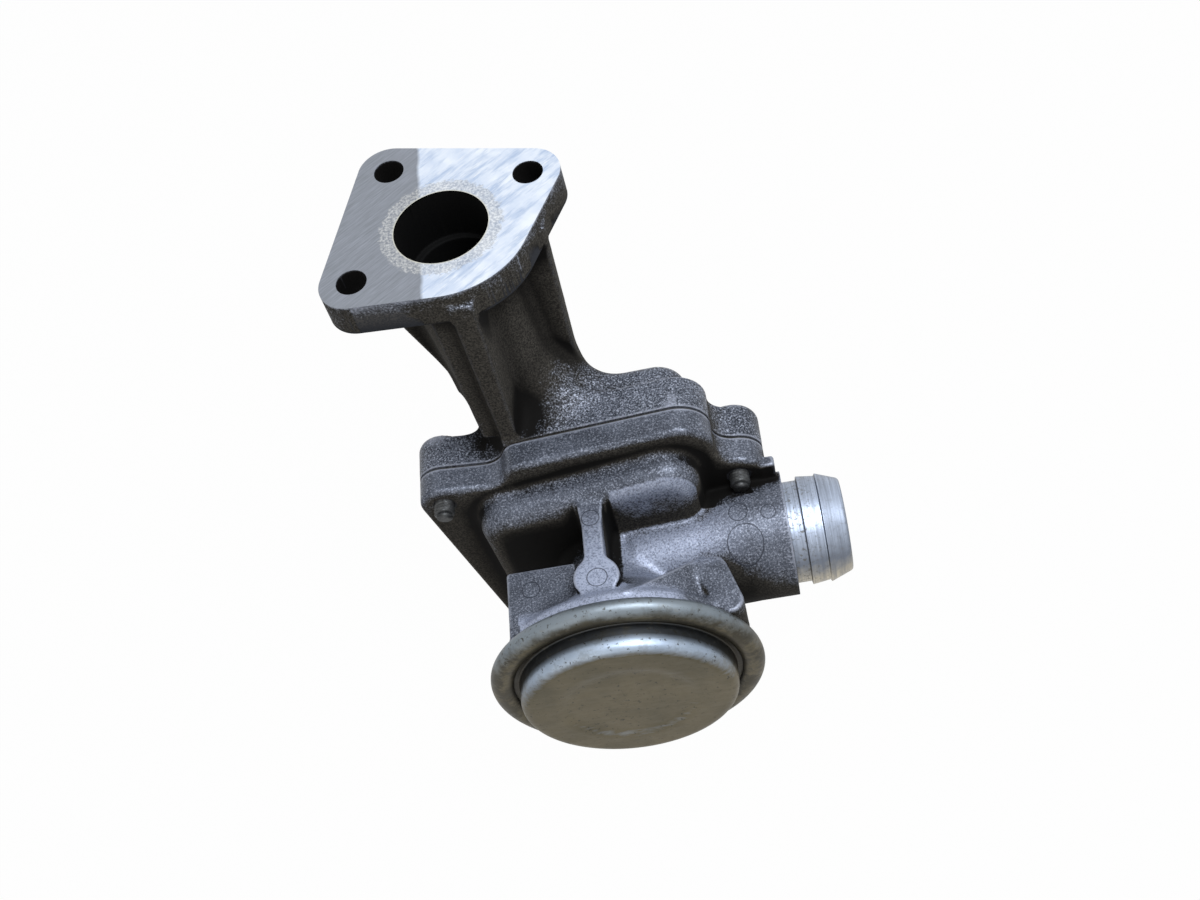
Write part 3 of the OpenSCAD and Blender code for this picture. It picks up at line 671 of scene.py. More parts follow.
# %% Hollows of the valve casting
def valve_hollows(x, y, z):
    """Reed seat and chamber, valve room, guide bore, diaphragm chamber, inlet and channel."""
    rho = np.hypot(x - VALVE_X, z - VALVE_Z)
    h = -y
    seat = np.maximum(rounded_box(x, z, REED_X, REED_Z, 46.2, 56.2, 3), h - 25.4)
    chamber = np.maximum(rounded_box(x, z, REED_X, REED_Z, 41, 51, 3), h - 35.4)
    room = np.minimum(np.maximum(rho - 10, h - 40), np.maximum(rho - 11.1, between(h, 38, 47.9)))
    guide = np.maximum(rho - 4.5, between(h, 45, 60))
    packing = np.maximum(rho - 6.5, between(h, 54.9, 60))
    dish = outline_distance(rho, h, np.array([(-30, 59.1), (14, 59.1), (21.5, 62.7), (24.8, 64.5),
                                              (24.8, 75), (-30, 75)]))
    inlet = np.hypot(y - INLET_Y, z - VALVE_Z)
    bore = np.minimum(np.maximum(inlet - 9.9, 46.6 - x), np.maximum(inlet - 12, 53.3 - x))
    duct = np.maximum(np.hypot(y + 41, z - VALVE_Z) - 10.4, between(x, 21, 49.6))
    duct = np.maximum(duct, y + 38)
    channel = np.maximum(np.hypot(x - 43.5, z + 81) - 1.3, between(y, -65.5, -47))
    hollow = functools.reduce(np.minimum, (seat, chamber, room, guide, packing, dish, bore, duct,
                                           channel))
    for sx, sz in SCREWS:
        rs = np.hypot(x - sx, z - sz)
        pocket = np.maximum(rs - 3.1, between(y, RIM_FRONT - 4.5, RIM_FRONT))
        hollow = np.minimum(hollow, np.minimum(np.maximum(rs - 2.5, RIM_FRONT - 3 - y), pocket))
    return hollow


def valve_shape(x, y, z):
    """The valve casting: its solids less its hollows."""
    return np.maximum(np.maximum(valve_solids(x, y, z), -valve_hollows(x, y, z)), -127 - z)


valve_creases = [(lambda x, y, z: joint_distance(x, z), lambda x, y, z: y - HOUSING_FACE)]
valve_creases += [(lambda x, y, z, r=r: np.hypot(y - INLET_Y, z - VALVE_Z) - r,
                   lambda x, y, z: x - INLET_END) for r in (15.3, 12)]
housing, housing_points = casting("valve_casting", (-24, -70, -128.5), (66, -21, -48.5), step,
                                  valve_shape, valve_creases)
add_attribute(housing, "soot", np.zeros(len(housing_points)))
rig.ride(housing, "housing")
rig.replaces(housing, "valve_housing")
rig.slot(housing, "casting")


# %% [markdown]
# ## Turned and pressed pieces
#
# The nipple, the can and its crimped ring are round, so each is a profile turned about its
# axis. A corner of a profile gets an arc, because no real edge is perfectly sharp.

# %% Profiles and lathe work
def soften(profile, radius, arc=5):
    """Closed profile whose corners are arcs: each arc runs between points on both sides of the
    corner, a tangent length away, as a quadratic curve through the corner's pull. Gives the
    points and the curve's direction at each, so flats between arcs stay flat when shaded."""
    p = np.array([q[:2] for q in profile], float)
    r = np.array([q[2] if len(q) > 2 else radius for q in profile])
    before, after = np.roll(p, 1, axis=0) - p, np.roll(p, -1, axis=0) - p
    lb, la = np.linalg.norm(before, axis=1), np.linalg.norm(after, axis=1)
    cut = np.minimum(r, 0.45 * np.minimum(lb, la))[:, None]
    a, b = p + before / lb[:, None] * cut, p + after / la[:, None] * cut
    t = np.linspace(0, 1, arc)[None, :, None]
    curve = (1 - t) ** 2 * a[:, None] + 2 * t * (1 - t) * p[:, None] + t ** 2 * b[:, None]
    along = (1 - t) * (p - a)[:, None] + t * (b - p)[:, None]
    along /= np.linalg.norm(along, axis=2, keepdims=True)
    return curve.reshape(-1, 2), along.reshape(-1, 2)


def close_poles(piece, n, m):
    """A face across both ends of the profile, where it comes close to the axis."""
    mesh = bmesh.new()
    mesh.from_mesh(piece.data)
    mesh.verts.ensure_lookup_table()
    for ends in (range((n - 1) * m, -1, -m), range(m - 1, n * m, m)):
        mesh.faces.new([mesh.verts[k] for k in ends]).smooth = True
    mesh.to_mesh(piece.data)
    mesh.free()


def ring_quads(n, m):
    """Quads between the neighbours of n by m points, whose rows and columns are both closed."""
    i, j = np.meshgrid(np.arange(n), np.arange(m), indexing="ij")
    i2, j2 = (i + 1) % n, (j + 1) % m
    return np.stack([i * m + j, i2 * m + j, i2 * m + j2, i * m + j2], -1)


def turned(name, profile, along, place, count, poles=False):
    """Closed ring of a profile (radius, height) turned about an axis. place maps the radius, the
    height, the cosine and the sine to x, y and z. The normal is the profile's direction turned
    by a right angle and mapped in the same way, less the place of the axis itself."""
    a = np.linspace(0, 2 * np.pi, count, endpoint=False)
    c, s = np.cos(a)[:, None], np.sin(a)[:, None]
    r, h = profile[:, 0][None, :], profile[:, 1][None, :]
    grid = np.stack(np.broadcast_arrays(*place(r, h, c, s)), -1)
    n, m = grid.shape[:2]
    quads = ring_quads(n, m)
    if poles:
        quads = quads[:, :-1]
    piece = new_mesh(name, grid.reshape(-1, 3), quads.reshape(-1, 4))
    if poles:
        close_poles(piece, n, m)
    if volume(piece) < 0:
        piece.data.flip_normals()
    tip = place(along[:, 1][None, :], -along[:, 0][None, :], c, s)
    tip = np.stack(np.broadcast_arrays(*tip), -1)
    axis = np.stack(np.broadcast_arrays(*place(0 * r, 0 * h, c, s)), -1)
    normals = (tip - axis).reshape(-1, 3)
    own = np.zeros(len(grid.reshape(-1, 3)) * 3, np.float32)
    piece.data.vertices.foreach_get("normal", own)
    if (normals * own.reshape(-1, 3)).sum() < 0:
        normals = -normals
    set_normals(piece, normals, 0.5)
    return piece


def volume(piece):
    """Volume inside a closed mesh: a sixth of the sum of its triangles' triple products."""
    piece.data.calc_loop_triangles()
    tri = np.zeros(len(piece.data.loop_triangles) * 3, np.int32)
    piece.data.loop_triangles.foreach_get("vertices", tri)
    p = points_of(piece)[tri.reshape(-1, 3)]
    return float(np.einsum("ij,ij->i", p[:, 0], np.cross(p[:, 1], p[:, 2])).sum() / 6)


def on_inlet(r, h, c, s):
    """Axis of the inlet, along +X."""
    return h, INLET_Y + r * c, VALVE_Z + r * s


def on_valve(r, h, c, s):
    """Axis of the valve, along -Y."""
    return VALVE_X + r * c, -h, VALVE_Z + r * s


# %% Hose nipple
nipple_profile = soften([
    (10.2, 53.3, 0.3), (12, 53.3, 0.4), (12, 64.36, 0.02), (12.5, 64.36, 0.05), (12.5, 67.7, 0.12),
    (13.4, 67.9, 0.18), (12.85, 72.25, 0.1), (13.4, 72.55, 0.18), (11.45, 77.7, 0.5),
    (11.0, 78.1, 0.25), (10.2, 78.1, 0.3)], 0.2)
nipple = turned("hose_nipple", *nipple_profile, on_inlet, 192)
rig.ride(nipple, "housing")
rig.replaces(nipple, "inlet_nipple")
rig.slot(nipple, "turned_aluminium")
print("nipple volume in mm3:", round(volume(nipple)))

# %% Diaphragm can and crimped ring
CAN_FACE, CAN_SEAT = 76.999, 69.3
can_profile = soften([
    (0.02, CAN_FACE - 0.5, 0.01), (14.4, CAN_FACE - 0.5, 1.4), (17.0, CAN_FACE, 1.6),
    (25.8, CAN_FACE, 6.2), (25.8, CAN_SEAT + 0.8, 0.5), (30.2, CAN_SEAT + 0.8, 0.2),
    (30.2, CAN_SEAT, 0.2), (25.0, CAN_SEAT, 0.4), (25.0, CAN_FACE - 0.8, 5.4),
    (17.0, CAN_FACE - 0.8, 0.5), (15.6, CAN_FACE - 1.3, 0.5), (0.02, CAN_FACE - 1.3, 0.01)],
    0.3, 14)
can = turned("spring_can", *can_profile, on_valve, 192, poles=True)
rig.ride(can, "housing")
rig.replaces(can, "diaphragm_can")
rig.slot(can, "zinc_plate")


def ring_section(count=56):
    """Section of the crimped ring: the outer part of an ellipse 6 mm wide and 5.2 mm high, and
    the slit that holds the lip, the diaphragm and the can's flange. The first part's directions
    are those of the ellipse, (-a sin t, b cos t), and the rest follow the straight sides."""
    t = np.linspace(math.radians(-40), math.radians(144), count)
    bead = np.stack([29.6 + 3.0 * np.cos(t), 68.9 + 2.6 * np.sin(t)], 1)
    along = np.stack([-3.0 * np.sin(t), 2.6 * np.cos(t)], 1)
    slit = np.array([(27.2, 70.1), (30.3, 70.1), (30.3, 67.7), (31.2, 67.35)])
    straight = np.roll(slit, -1, axis=0) - slit
    straight[-1] = bead[0] - slit[-1]
    along = np.concatenate([along, straight])
    return np.concatenate([bead, slit]), along / np.linalg.norm(along, axis=1, keepdims=True)


ring = turned("crimped_ring", *ring_section(), on_valve, 224)
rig.ride(ring, "housing")
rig.replaces(ring, "clamp_ring")
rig.slot(ring, "zinc_plate")
print("ring volume in mm3:", round(volume(ring)), "can volume:", round(volume(can)))


# %% [markdown]
# ## Gasket and screws
#
# The gasket shows as a thin light strip between two dark lines, because both castings have a
# small bevel at the joint. The screws are threaded, and their ends stand out of the ears, where
# the photograph shows the turns of the thread.

# %% Gasket
def joint_curve(inset, count=720):
    """Points of the joint's outline, moved inwards by inset: along each ray from the middle the
    field is halved down to where it equals minus the inset."""
    a = np.linspace(0, 2 * np.pi, count, endpoint=False)
    near, far = np.full(count, 5.0), np.full(count, 75.0)
    for _ in range(26):
        mid = (near + far) / 2
        inside = joint_distance(REED_X + mid * np.cos(a), REED_Z + mid * np.sin(a)) < -inset
        near, far = np.where(inside, mid, near), np.where(inside, far, mid)
    return np.stack([REED_X + near * np.cos(a), REED_Z + near * np.sin(a)], 1)


def box_curve(w, h, count=720):
    """Points on a rectangle round the middle of the reed plate, one on each ray."""
    a = np.linspace(0, 2 * np.pi, count, endpoint=False)
    reach = np.minimum(w / 2 / np.maximum(np.abs(np.cos(a)), 1e-9),
                       h / 2 / np.maximum(np.abs(np.sin(a)), 1e-9))
    return np.stack([REED_X + reach * np.cos(a), REED_Z + reach * np.sin(a)], 1)


SHEET_LOW, SHEET_HIGH = -22.21, -21.79
outer_curve, groove_curve, inner_curve = joint_curve(0.45), joint_curve(0.9), box_curve(41.5, 51.5)
section = [(inner_curve, HOUSING_FACE), (groove_curve, HOUSING_FACE), (groove_curve, SHEET_LOW),
           (outer_curve, SHEET_LOW), (outer_curve, SHEET_HIGH), (groove_curve, SHEET_HIGH),
           (groove_curve, COVER_FACE), (inner_curve, COVER_FACE)]
rows = np.stack([np.stack([c[:, 0], np.full(len(c), h), c[:, 1]], 1) for c, h in section], 1)
quads = ring_quads(*rows.shape[:2]).reshape(-1, 4)
gasket = new_mesh("joint_gasket", rows.reshape(-1, 3), quads, smooth=False)
if volume(gasket) < 0:
    gasket.data.flip_normals()
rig.ride(gasket, "housing")
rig.replaces(gasket, "housing_gasket")
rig.slot(gasket, "gasket")
print("gasket volume in mm3:", round(volume(gasket)))

# %% Screws
THREAD_PITCH = 0.8
SCREW_HEAD = RIM_BACK - 4


def screw_surface(cx, cz, count=72):
    """Screw along -Y as a radius over turn and height: the shank's radius falls and rises by a
    thread that climbs one pitch a turn, and the head is a hexagon, the lesser of its chamfer's
    radius and its flat's distance over the cosine of the angle from the flat."""
    a = np.linspace(0, 2 * np.pi, count, endpoint=False)[None, :]
    tip = RIM_FRONT - 3.5
    head = np.array([(0.01, 3.4), (2.2, 3.4), (3.1, 3.32), (3.8, 3.0), (4.1, 2.6), (4.1, 1.05),
                     (4.0, 1.0), (4.0, 0.85), (4.0, 0.25), (3.85, 0.02), (2.5, 0.0)])
    shank = SCREW_HEAD - np.arange(0.1, SCREW_HEAD - tip, 0.1)
    y = np.concatenate([SCREW_HEAD + head[:, 1], shank, [tip, tip]])[:, None]
    r = np.concatenate([head[:, 0], np.full(len(shank), 2.5), [2.0, 0.01]])[:, None]
    flat = 3.55 / np.cos((a + np.pi / 6) % (np.pi / 3) - np.pi / 6)
    r = np.where((y > SCREW_HEAD + 1.02) & (r > 1), np.minimum(r, flat), r + 0 * a)
    turn = np.abs(((SCREW_HEAD - y) / THREAD_PITCH + a / (2 * np.pi)) % 1 - 0.5) * 2
    fade = np.clip((y - tip) / 0.7, 0.55, 1)
    threaded = (y < SCREW_HEAD - 2) & (y > tip)
    r = np.where(threaded, np.minimum(2.5 * fade, 2.08 + 0.44 * turn), r)
    points = np.stack(np.broadcast_arrays(cx + r * np.cos(a), y, cz + r * np.sin(a)), -1)
    rows_n = points.shape[0]
    k, l = np.meshgrid(np.arange(rows_n - 1), np.arange(count), indexing="ij")
    quads = np.stack([k * count + l, k * count + (l + 1) % count,
                      (k + 1) * count + (l + 1) % count, (k + 1) * count + l], -1).reshape(-1, 4)
    return points.reshape(-1, 3), quads, rows_n


def screw_set():
    """All four screws in one mesh, with their two small end circles closed by fans of quads."""
    count, points, faces, start = 72, [], [], 0
    for sx, sz in SCREWS:
        p, q, rows_n = screw_surface(sx, sz, count)
        half = count // 2
        l = np.arange(half - 1)
        top = np.stack([l, count - 1 - l, count - 2 - l, l + 1], 1)
        last = (rows_n - 1) * count
        q = np.concatenate([q, top, (top + last)[:, ::-1]])
        points.append(p)
        faces.append(q + start)
        start += len(p)
    return np.concatenate(points), np.concatenate(faces)


screws = new_mesh("housing_screw_set", *screw_set())
if volume(screws) < 0:
    screws.data.flip_normals()
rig.ride(screws, "housing")
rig.replaces(screws, "housing_screws")
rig.slot(screws, "screw_steel")
print("screw volume in mm3:", round(volume(screws)))


# %% [markdown]
# ## Finishes
#
# Every finish is a small network of nodes on the object's own coordinates. The castings are die-cast aluminium with
# years of oily road dust, with shade painted into their colour: dust and painted shade lie thick in the recesses and
# on faces turned from the sky, and the metal is lightened where edges are rubbed, partly as a painted highlight. The
# turned and plated pieces are toned by facing, with a painted sky sheen where they face up. Patterns are sized in
# millimetres.

# %% Helpers for materials
def rgb(code):
    """sRGB hex colour to linear values with alpha."""
    v = [int(code[i:i + 2], 16) / 255 for i in (1, 3, 5)]
    return tuple(c / 12.92 if c < 0.04045 else ((c + 0.055) / 1.055) ** 2.4 for c in v) + (1.0,)


def add(tree, sort, *values, **named):
    """Adds a node. sort is its type, with its operation or data type after a space. Values go to
    its inputs in use, in order. A named value whose name has a capital goes to that input, and
    the others are properties. Where a value is a node, its first output in use is linked."""
    kind, _, option = sort.partition(" ")
    made = tree.nodes.new("ShaderNode" + kind)
    if option:
        setattr(made, "operation" if hasattr(made, "operation") else "data_type", option)
    for key in [key for key in named if key[0].islower()]:
        setattr(made, key, named.pop(key))
    pairs = list(zip([socket for socket in made.inputs if socket.enabled], values))
    pairs += [(made.inputs[key.replace("_", " ")], value) for key, value in named.items()]
    for socket, value in pairs:
        if isinstance(value, bpy.types.Node):
            value = next(output for output in value.outputs if output.enabled)
        if isinstance(value, bpy.types.NodeSocket):
            tree.links.new(value, socket)
        else:
            socket.default_value = value
    return made


def emptied(tree):
    """Empties a node tree and gives the function that adds nodes to it."""
    tree.nodes.clear()
    return functools.partial(add, tree)


def new_material(name):
    """Empty material, and the function that adds nodes to it."""
    material = bpy.data.materials.new(name)
    material.use_nodes = True
    return material, emptied(material.node_tree)


def size(mm):
    """Noise scale that gives features of a size in millimetres, on coordinates in metres."""
    return 1 / (mm * MM)


def give(piece, *materials):
    """Puts materials into a piece's slots."""
    piece.data.materials.clear()
    for material in materials:
        piece.data.materials.append(material)


# %% Marks of the ejector pins
PIN_MARKS = [(18.9, -41.5, -61, 2.1), (19.2, -57.8, -61, 2.35), (2.5, -54, -68, 2.1),
             (52.9, -38.8, -73, 2.25), (53.5, -46.3, -74, 4.3), (60, -40, -74, 1.8)]
PIN_LINE, PIN_FLAT = 0.14, 0.33


def pin_marks(node, place):
    """One on the thin circles that the die's ejector pins left, zero elsewhere. A point is on a
    circle where its distance from the middle, with the height counted at a third, is the
    radius."""
    low = node("VectorMath MULTIPLY", place, (1, 1, PIN_FLAT))
    total = 0.0
    for cx, cy, cz, r in PIN_MARKS:
        away = node("VectorMath DISTANCE", low, (cx * MM, cy * MM, cz * MM * PIN_FLAT))
        total = node("Math MAXIMUM", total, node("Math COMPARE", away, r * MM, PIN_LINE * MM))
    return total


# %% Die-cast aluminium with road dust and painted shade
def cast_aluminium(name, grit, marked):
    """As-cast skin: blue-grey metal with a fine grain where it faces up; brown-black dust mixed with painted shade on
    steep and front faces, under overhangs and in the recesses; near-black painted shade in the deepest recesses; and
    cleaner metal near the can. Convex edges are lightened, partly as rubbed metal and partly as a painted highlight.
    grit is how much the grain shows, and marked adds the ejector marks. The grain is drawn coarser than a real
    casting's, so that it shows in a picture of the whole part."""
    material, node = new_material(name)
    place = node("TexCoord").outputs["Object"]
    given = {key: node("Attribute", attribute_name=key).outputs["Fac"]
             for key in ("shelter", "edge", "up", "front", "clean", "bare", "overhead", "soot")}
    grain = node("TexNoise", place, size(0.45), 4, 0.75)
    fleck = node("TexNoise", place, size(1.1), 4, 0.8)
    cloud = node("TexNoise", place, size(9), 3, 0.55)
    patch = node("TexNoise", place, size(3), 3, 0.6)
    skin = node("Mix RGBA", node("MapRange", cloud, 0.35, 0.65), rgb("#4d515a"), rgb("#656a75"))
    skin = node("Mix RGBA", given["clean"], skin, rgb("#a4acc0"))
    for pattern, none, full, most, shade in ((grain, 0.49, 0.41, grit, "#1d1f24"),
                                             (grain, 0.54, 0.62, grit, "#b9bfcd"),
                                             (fleck, 0.36, 0.30, 0.6, "#2b2c30")):
        skin = node("Mix RGBA", node("MapRange", pattern, none, full, 0, most), skin, rgb(shade))

    # Dust and painted shade lie where the sum of these terms is high: recesses, faces turned from up, faces hidden
    # from the sky above and front faces are darkened partly as dust and partly as painted shade. The sum is lower
    # where the metal is rubbed clean, and on the bare places, where both the dust and the painted shade are lessened.
    depth = given["shelter"]
    for cause, weight in ((node("Math SUBTRACT", 1.0, given["up"]), 0.48), (given["overhead"], 0.3),
                          (given["front"], 0.18), (given["clean"], -0.34), (given["bare"], -0.25)):
        depth = node("Math MULTIPLY_ADD", cause, weight, depth)
    depth = node("Math ADD", depth, node("MapRange", patch, 0.3, 0.7, -0.10, 0.10))
    depth = node("Math ADD", depth, node("MapRange", grain, 0.35, 0.65, 0.14, -0.14))
    dust_and_shade = node("MapRange", depth, 0.30, 0.68)
    dark_film_and_shade = node("Mix RGBA", node("MapRange", grain, 0.42, 0.60), rgb("#2b2926"), rgb("#57534c"))

    # Painted shade: under overhangs and in the deepest recesses the colour is taken nearly to black, less so on the
    # bare places.
    shade = node("Math MULTIPLY_ADD", given["overhead"], 0.15, given["shelter"])
    shade = node("Math MULTIPLY_ADD", node("Math MINIMUM", given["up"], 0.0), -0.35, shade)
    black = node("Math MULTIPLY", node("MapRange", shade, 0.16, 0.44),
                 node("Math MULTIPLY_ADD", given["bare"], -0.7, 1.0))
    dark_film_and_shade = node("Mix RGBA", black, dark_film_and_shade, rgb("#0a0908"))
    colour = node("Mix RGBA", dust_and_shade, skin, dark_film_and_shade)

    # Convex edges are lightened along a ragged line where no dust or painted shade covers them: partly rubbed metal,
    # partly a painted edge highlight.
    ragged = node("MapRange", node("TexNoise", place, size(1.6), 4, 0.7), 0.3, 0.7, -0.06, 0.06)
    rubbed_edge_highlight = node("MapRange", node("Math ADD", given["edge"], ragged), 0.11, 0.22, 0.0, 0.6)
    rubbed_edge_highlight = node("Math MULTIPLY", rubbed_edge_highlight, node("Math MULTIPLY_ADD", dust_and_shade, -0.85, 1.0))
    colour = node("Mix RGBA", rubbed_edge_highlight, colour, rgb("#a4a9b6"))
    relief = node("Math MULTIPLY_ADD", fleck, 0.8, grain)
    if marked:
        marks = pin_marks(node, place)
        colour = node("Mix RGBA", node("Math MULTIPLY", marks, 0.75), colour, rgb("#30333b"))
        relief = node("Math SUBTRACT", relief, marks)
    colour = node("Mix RGBA", given["soot"], colour, rgb("#060606"))
    bump = node("Bump", Strength=0.35 * grit + 0.1, Distance=0.12 * MM, Height=relief)
    node("OutputMaterial", Surface=node(
        "BsdfPrincipled", Base_Color=colour, Metallic=node("MapRange", dust_and_shade, 0, 1, 0.35, 0.0),
        Roughness=node("MapRange", dust_and_shade, 0, 1, 0.40, 0.8), Specular_IOR_Level=0.12, Normal=bump))
    return material


# %% Milled aluminium of the flange face
def milled_aluminium():
    """Face-milled aluminium: bright, with faint scratches two ways and a matt worn ring where
    the pipe's gasket sat. The scratches are drawn wider than real ones, so that they show."""
    material, node = new_material("milled_aluminium_face")
    place = node("TexCoord").outputs["Object"]
    flat, cross, sweep = [
        node("Mapping", place, Scale=(stretch, 1, 1), Rotation=(0, 0, turn), vector_type="TEXTURE")
        for stretch, turn in ((16, 0.66), (20, 2.2), (5, 0.66))]
    scratch = node("TexNoise", flat, size(0.4), 3, 0.7)
    other = node("TexNoise", cross, size(0.5), 2, 0.7)
    cloud = node("TexNoise", place, size(7), 3, 0.5)
    away = node("VectorMath LENGTH", place)

    # The worn ring lies between two radii, with ragged edges.
    ragged = node("TexNoise", place, size(1.5), 4, 0.7)
    ragged = node("Math ADD", away, node("MapRange", ragged, 0.3, 0.7, -0.9 * MM, 0.9 * MM))
    worn = node("Math MULTIPLY", node("MapRange", ragged, 14.2 * MM, 13.6 * MM),
                node("MapRange", ragged, 10.0 * MM, 10.6 * MM))

    # Left of a line across the face the metal is dull.
    along = node("SeparateXYZ", place).outputs[0]
    along = node("Math ADD", along, node("MapRange", cloud, 0.3, 0.7, -0.4 * MM, 0.4 * MM))
    wiped = node("MapRange", along, -5.2 * MM, -4.4 * MM)
    dull = node("Mix RGBA", node("MapRange", scratch, 0.35, 0.7), rgb("#83888f"), rgb("#989da8"))
    colour = node("Mix RGBA", node("MapRange", cloud, 0.35, 0.65), rgb("#cfdcf0"), rgb("#eaf1fa"))
    sweeps = node("MapRange", node("TexNoise", sweep, size(2.2), 4, 0.62), 0.48, 0.64, 0.0, 0.7)
    colour = node("Mix RGBA", sweeps, colour, rgb("#a4b9d8"))
    colour = node("Mix RGBA", node("MapRange", scratch, 0.56, 0.72), colour, rgb("#f3f6fb"))
    colour = node("Mix RGBA", wiped, dull, colour)
    speck = node("MapRange", node("TexNoise", place, size(0.6), 3, 0.7), 0.42, 0.6)
    mottle = node("Mix RGBA", speck, rgb("#83868d"), rgb("#d2d3d0"))
    colour = node("Mix RGBA", node("Math MULTIPLY", worn, 0.62), colour, mottle)
    rim = node("MapRange", away, 11.1 * MM, 10.9 * MM, 0.0, 0.7)
    colour = node("Mix RGBA", rim, colour, rgb("#cfcdbf"))
    rough = node("Math MULTIPLY_ADD", worn, 0.15, node("MapRange", cloud, 0.3, 0.7, 0.30, 0.36))
    bump = node("Bump", Strength=0.12, Distance=0.05 * MM, Height=node("Math ADD", scratch, other))
    node("OutputMaterial", Surface=node("BsdfPrincipled", Base_Color=colour, Metallic=0.9,
                                        Roughness=rough, Normal=bump))
    return material


# %% Turned aluminium of the nipple
def turned_aluminium():
    """Turned aluminium: fine lines round the axis from the tool's feed, tones painted by facing as light and shade (a
    bluish painted sky sheen where it faces up, a darker grey between, khaki on the underside), and dull specks near
    the boss. The lines are drawn wider than a real tool's feed, so that they show."""
    material, node = new_material("turned_aluminium_bright")
    coordinates = node("TexCoord").outputs
    place = coordinates["Object"]
    lines = node("Mapping", place, Scale=(1, 0.02, 0.02))
    feed = node("TexNoise", lines, size(0.5), 3, 0.75)
    blot = node("TexNoise", place, size(5), 4, 0.65)
    speck = node("TexNoise", place, size(0.9), 3, 0.7)
    # Tones painted by facing, as light and shade: khaki on the underside, a darker grey between, and a bluish painted
    # sky sheen where it faces up.
    up = node("SeparateXYZ", coordinates["Normal"]).outputs[2]
    up = node("Math ADD", up, node("MapRange", blot, 0.3, 0.7, -0.12, 0.12))
    colour = node("Mix RGBA", node("MapRange", up, -0.15, 0.3), rgb("#bab29f"), rgb("#757c88"))
    colour = node("Mix RGBA", node("MapRange", up, 0.35, 0.8), colour, rgb("#abb6c8"))
    colour = node("Mix RGBA", node("MapRange", feed, 0.38, 0.62, 0.0, 0.55), colour, rgb("#6d727c"))
    near = node("MapRange", node("SeparateXYZ", place).outputs[0], 73 * MM, 65 * MM)
    dirt = node("Math MULTIPLY", node("MapRange", speck, 0.56, 0.62),
                node("Math ADD", near, 0.25, use_clamp=True))
    colour = node("Mix RGBA", node("Math MULTIPLY", dirt, 0.7), colour, rgb("#5d594e"))
    bump = node("Bump", Strength=0.05, Distance=0.04 * MM, Height=feed)
    node("OutputMaterial", Surface=node(
        "BsdfPrincipled", Base_Color=colour, Metallic=node("MapRange", dirt, 0, 1, 0.95, 0.4),
        Roughness=node("MapRange", feed, 0.3, 0.7, 0.38, 0.5), Normal=bump))
    return material


# %% Zinc-plated sheet
def zinc_sheet():
    """Zinc-plated steel with its yellowish passivation gone dull: a painted blue-grey sky sheen where it faces up,
    olive-grey toward the front, painted shade in the gap at the ring, dark dirt in patches, which on the ring's steep
    side is partly painted shade, pits and short scratches. The pits are drawn larger than real ones, so that they
    show."""
    material, node = new_material("zinc_plated_sheet_aged")
    coordinates = node("TexCoord").outputs
    place = coordinates["Object"]
    cloud = node("TexNoise", place, size(10), 3, 0.55)
    smear = node("Mapping", place, Scale=(0.25, 1, 1), Rotation=(0, 0.4, 0))
    streak = node("TexNoise", smear, size(1.2), 4, 0.65)
    pit = node("TexNoise", place, size(1.1), 3, 0.7)
    grime = node("TexNoise", place, size(5), 4, 0.7)
    # Tones painted by facing, as light and shade: a blue-grey painted sky sheen where it faces up, olive-grey toward
    # the front, and a darker sheen on the ring.
    up = node("SeparateXYZ", coordinates["Normal"]).outputs[2]
    up = node("Math ADD", up, node("MapRange", streak, 0.3, 0.7, -0.1, 0.1))
    cloud = node("MapRange", cloud, 0.35, 0.65)
    bright = node("Mix RGBA", cloud, rgb("#94a1b1"), rgb("#a9b6c5"))
    dull = node("Mix RGBA", cloud, rgb("#554f3d"), rgb("#675f4b"))
    from_axis = node("VectorMath DISTANCE", node("VectorMath MULTIPLY", place, (1, 0, 1)),
                     (VALVE_X * MM, 0, VALVE_Z * MM))
    on_ring = node("MapRange", from_axis, 26.2 * MM, 27.0 * MM)
    bright = node("Mix RGBA", on_ring, bright, rgb("#7c858c"))
    colour = node("Mix RGBA", node("MapRange", up, 0.1, 0.62), dull, bright)

    # Dark patches lie on the ring's steep side, kept to faces turned from up, as dirt and partly painted shade; a
    # painted shade darkens the gap between the can's wall and the ring.
    dirt_and_shade = node("Math MULTIPLY", on_ring, node("MapRange", grime, 0.38, 0.56))
    dirt_and_shade = node("Math MULTIPLY", dirt_and_shade, node("MapRange", up, 0.75, 0.2))
    colour = node("Mix RGBA", node("Math MULTIPLY", dirt_and_shade, 0.8), colour, rgb("#2f2c24"))
    gap = node("MapRange", node("SeparateXYZ", place).outputs[1], -74.5 * MM, -72.8 * MM)
    for none, full in ((25.5, 25.7), (27.7, 27.2)):
        gap = node("Math MULTIPLY", gap, node("MapRange", from_axis, none * MM, full * MM))
    colour = node("Mix RGBA", node("Math MULTIPLY", gap, 0.9), colour, rgb("#26231c"))
    for pattern, none, full, most, shade in ((grime, 0.54, 0.66, 0.3, "#46412f"),
                                             (streak, 0.58, 0.74, 0.3, "#7d7766"),
                                             (pit, 0.60, 0.67, 0.8, "#38352c")):
        colour = node("Mix RGBA", node("MapRange", pattern, none, full, 0, most), colour, rgb(shade))
    bump = node("Bump", Strength=0.15, Distance=0.1 * MM,
                Height=node("Math MULTIPLY_ADD", streak, 0.6, pit))
    node("OutputMaterial", Surface=node(
        "BsdfPrincipled", Base_Color=colour, Metallic=node("MapRange", up, 0.1, 0.6, 0.75, 0.9),
        Roughness=node("MapRange", streak, 0.3, 0.7, 0.40, 0.54), Normal=bump))
    return material


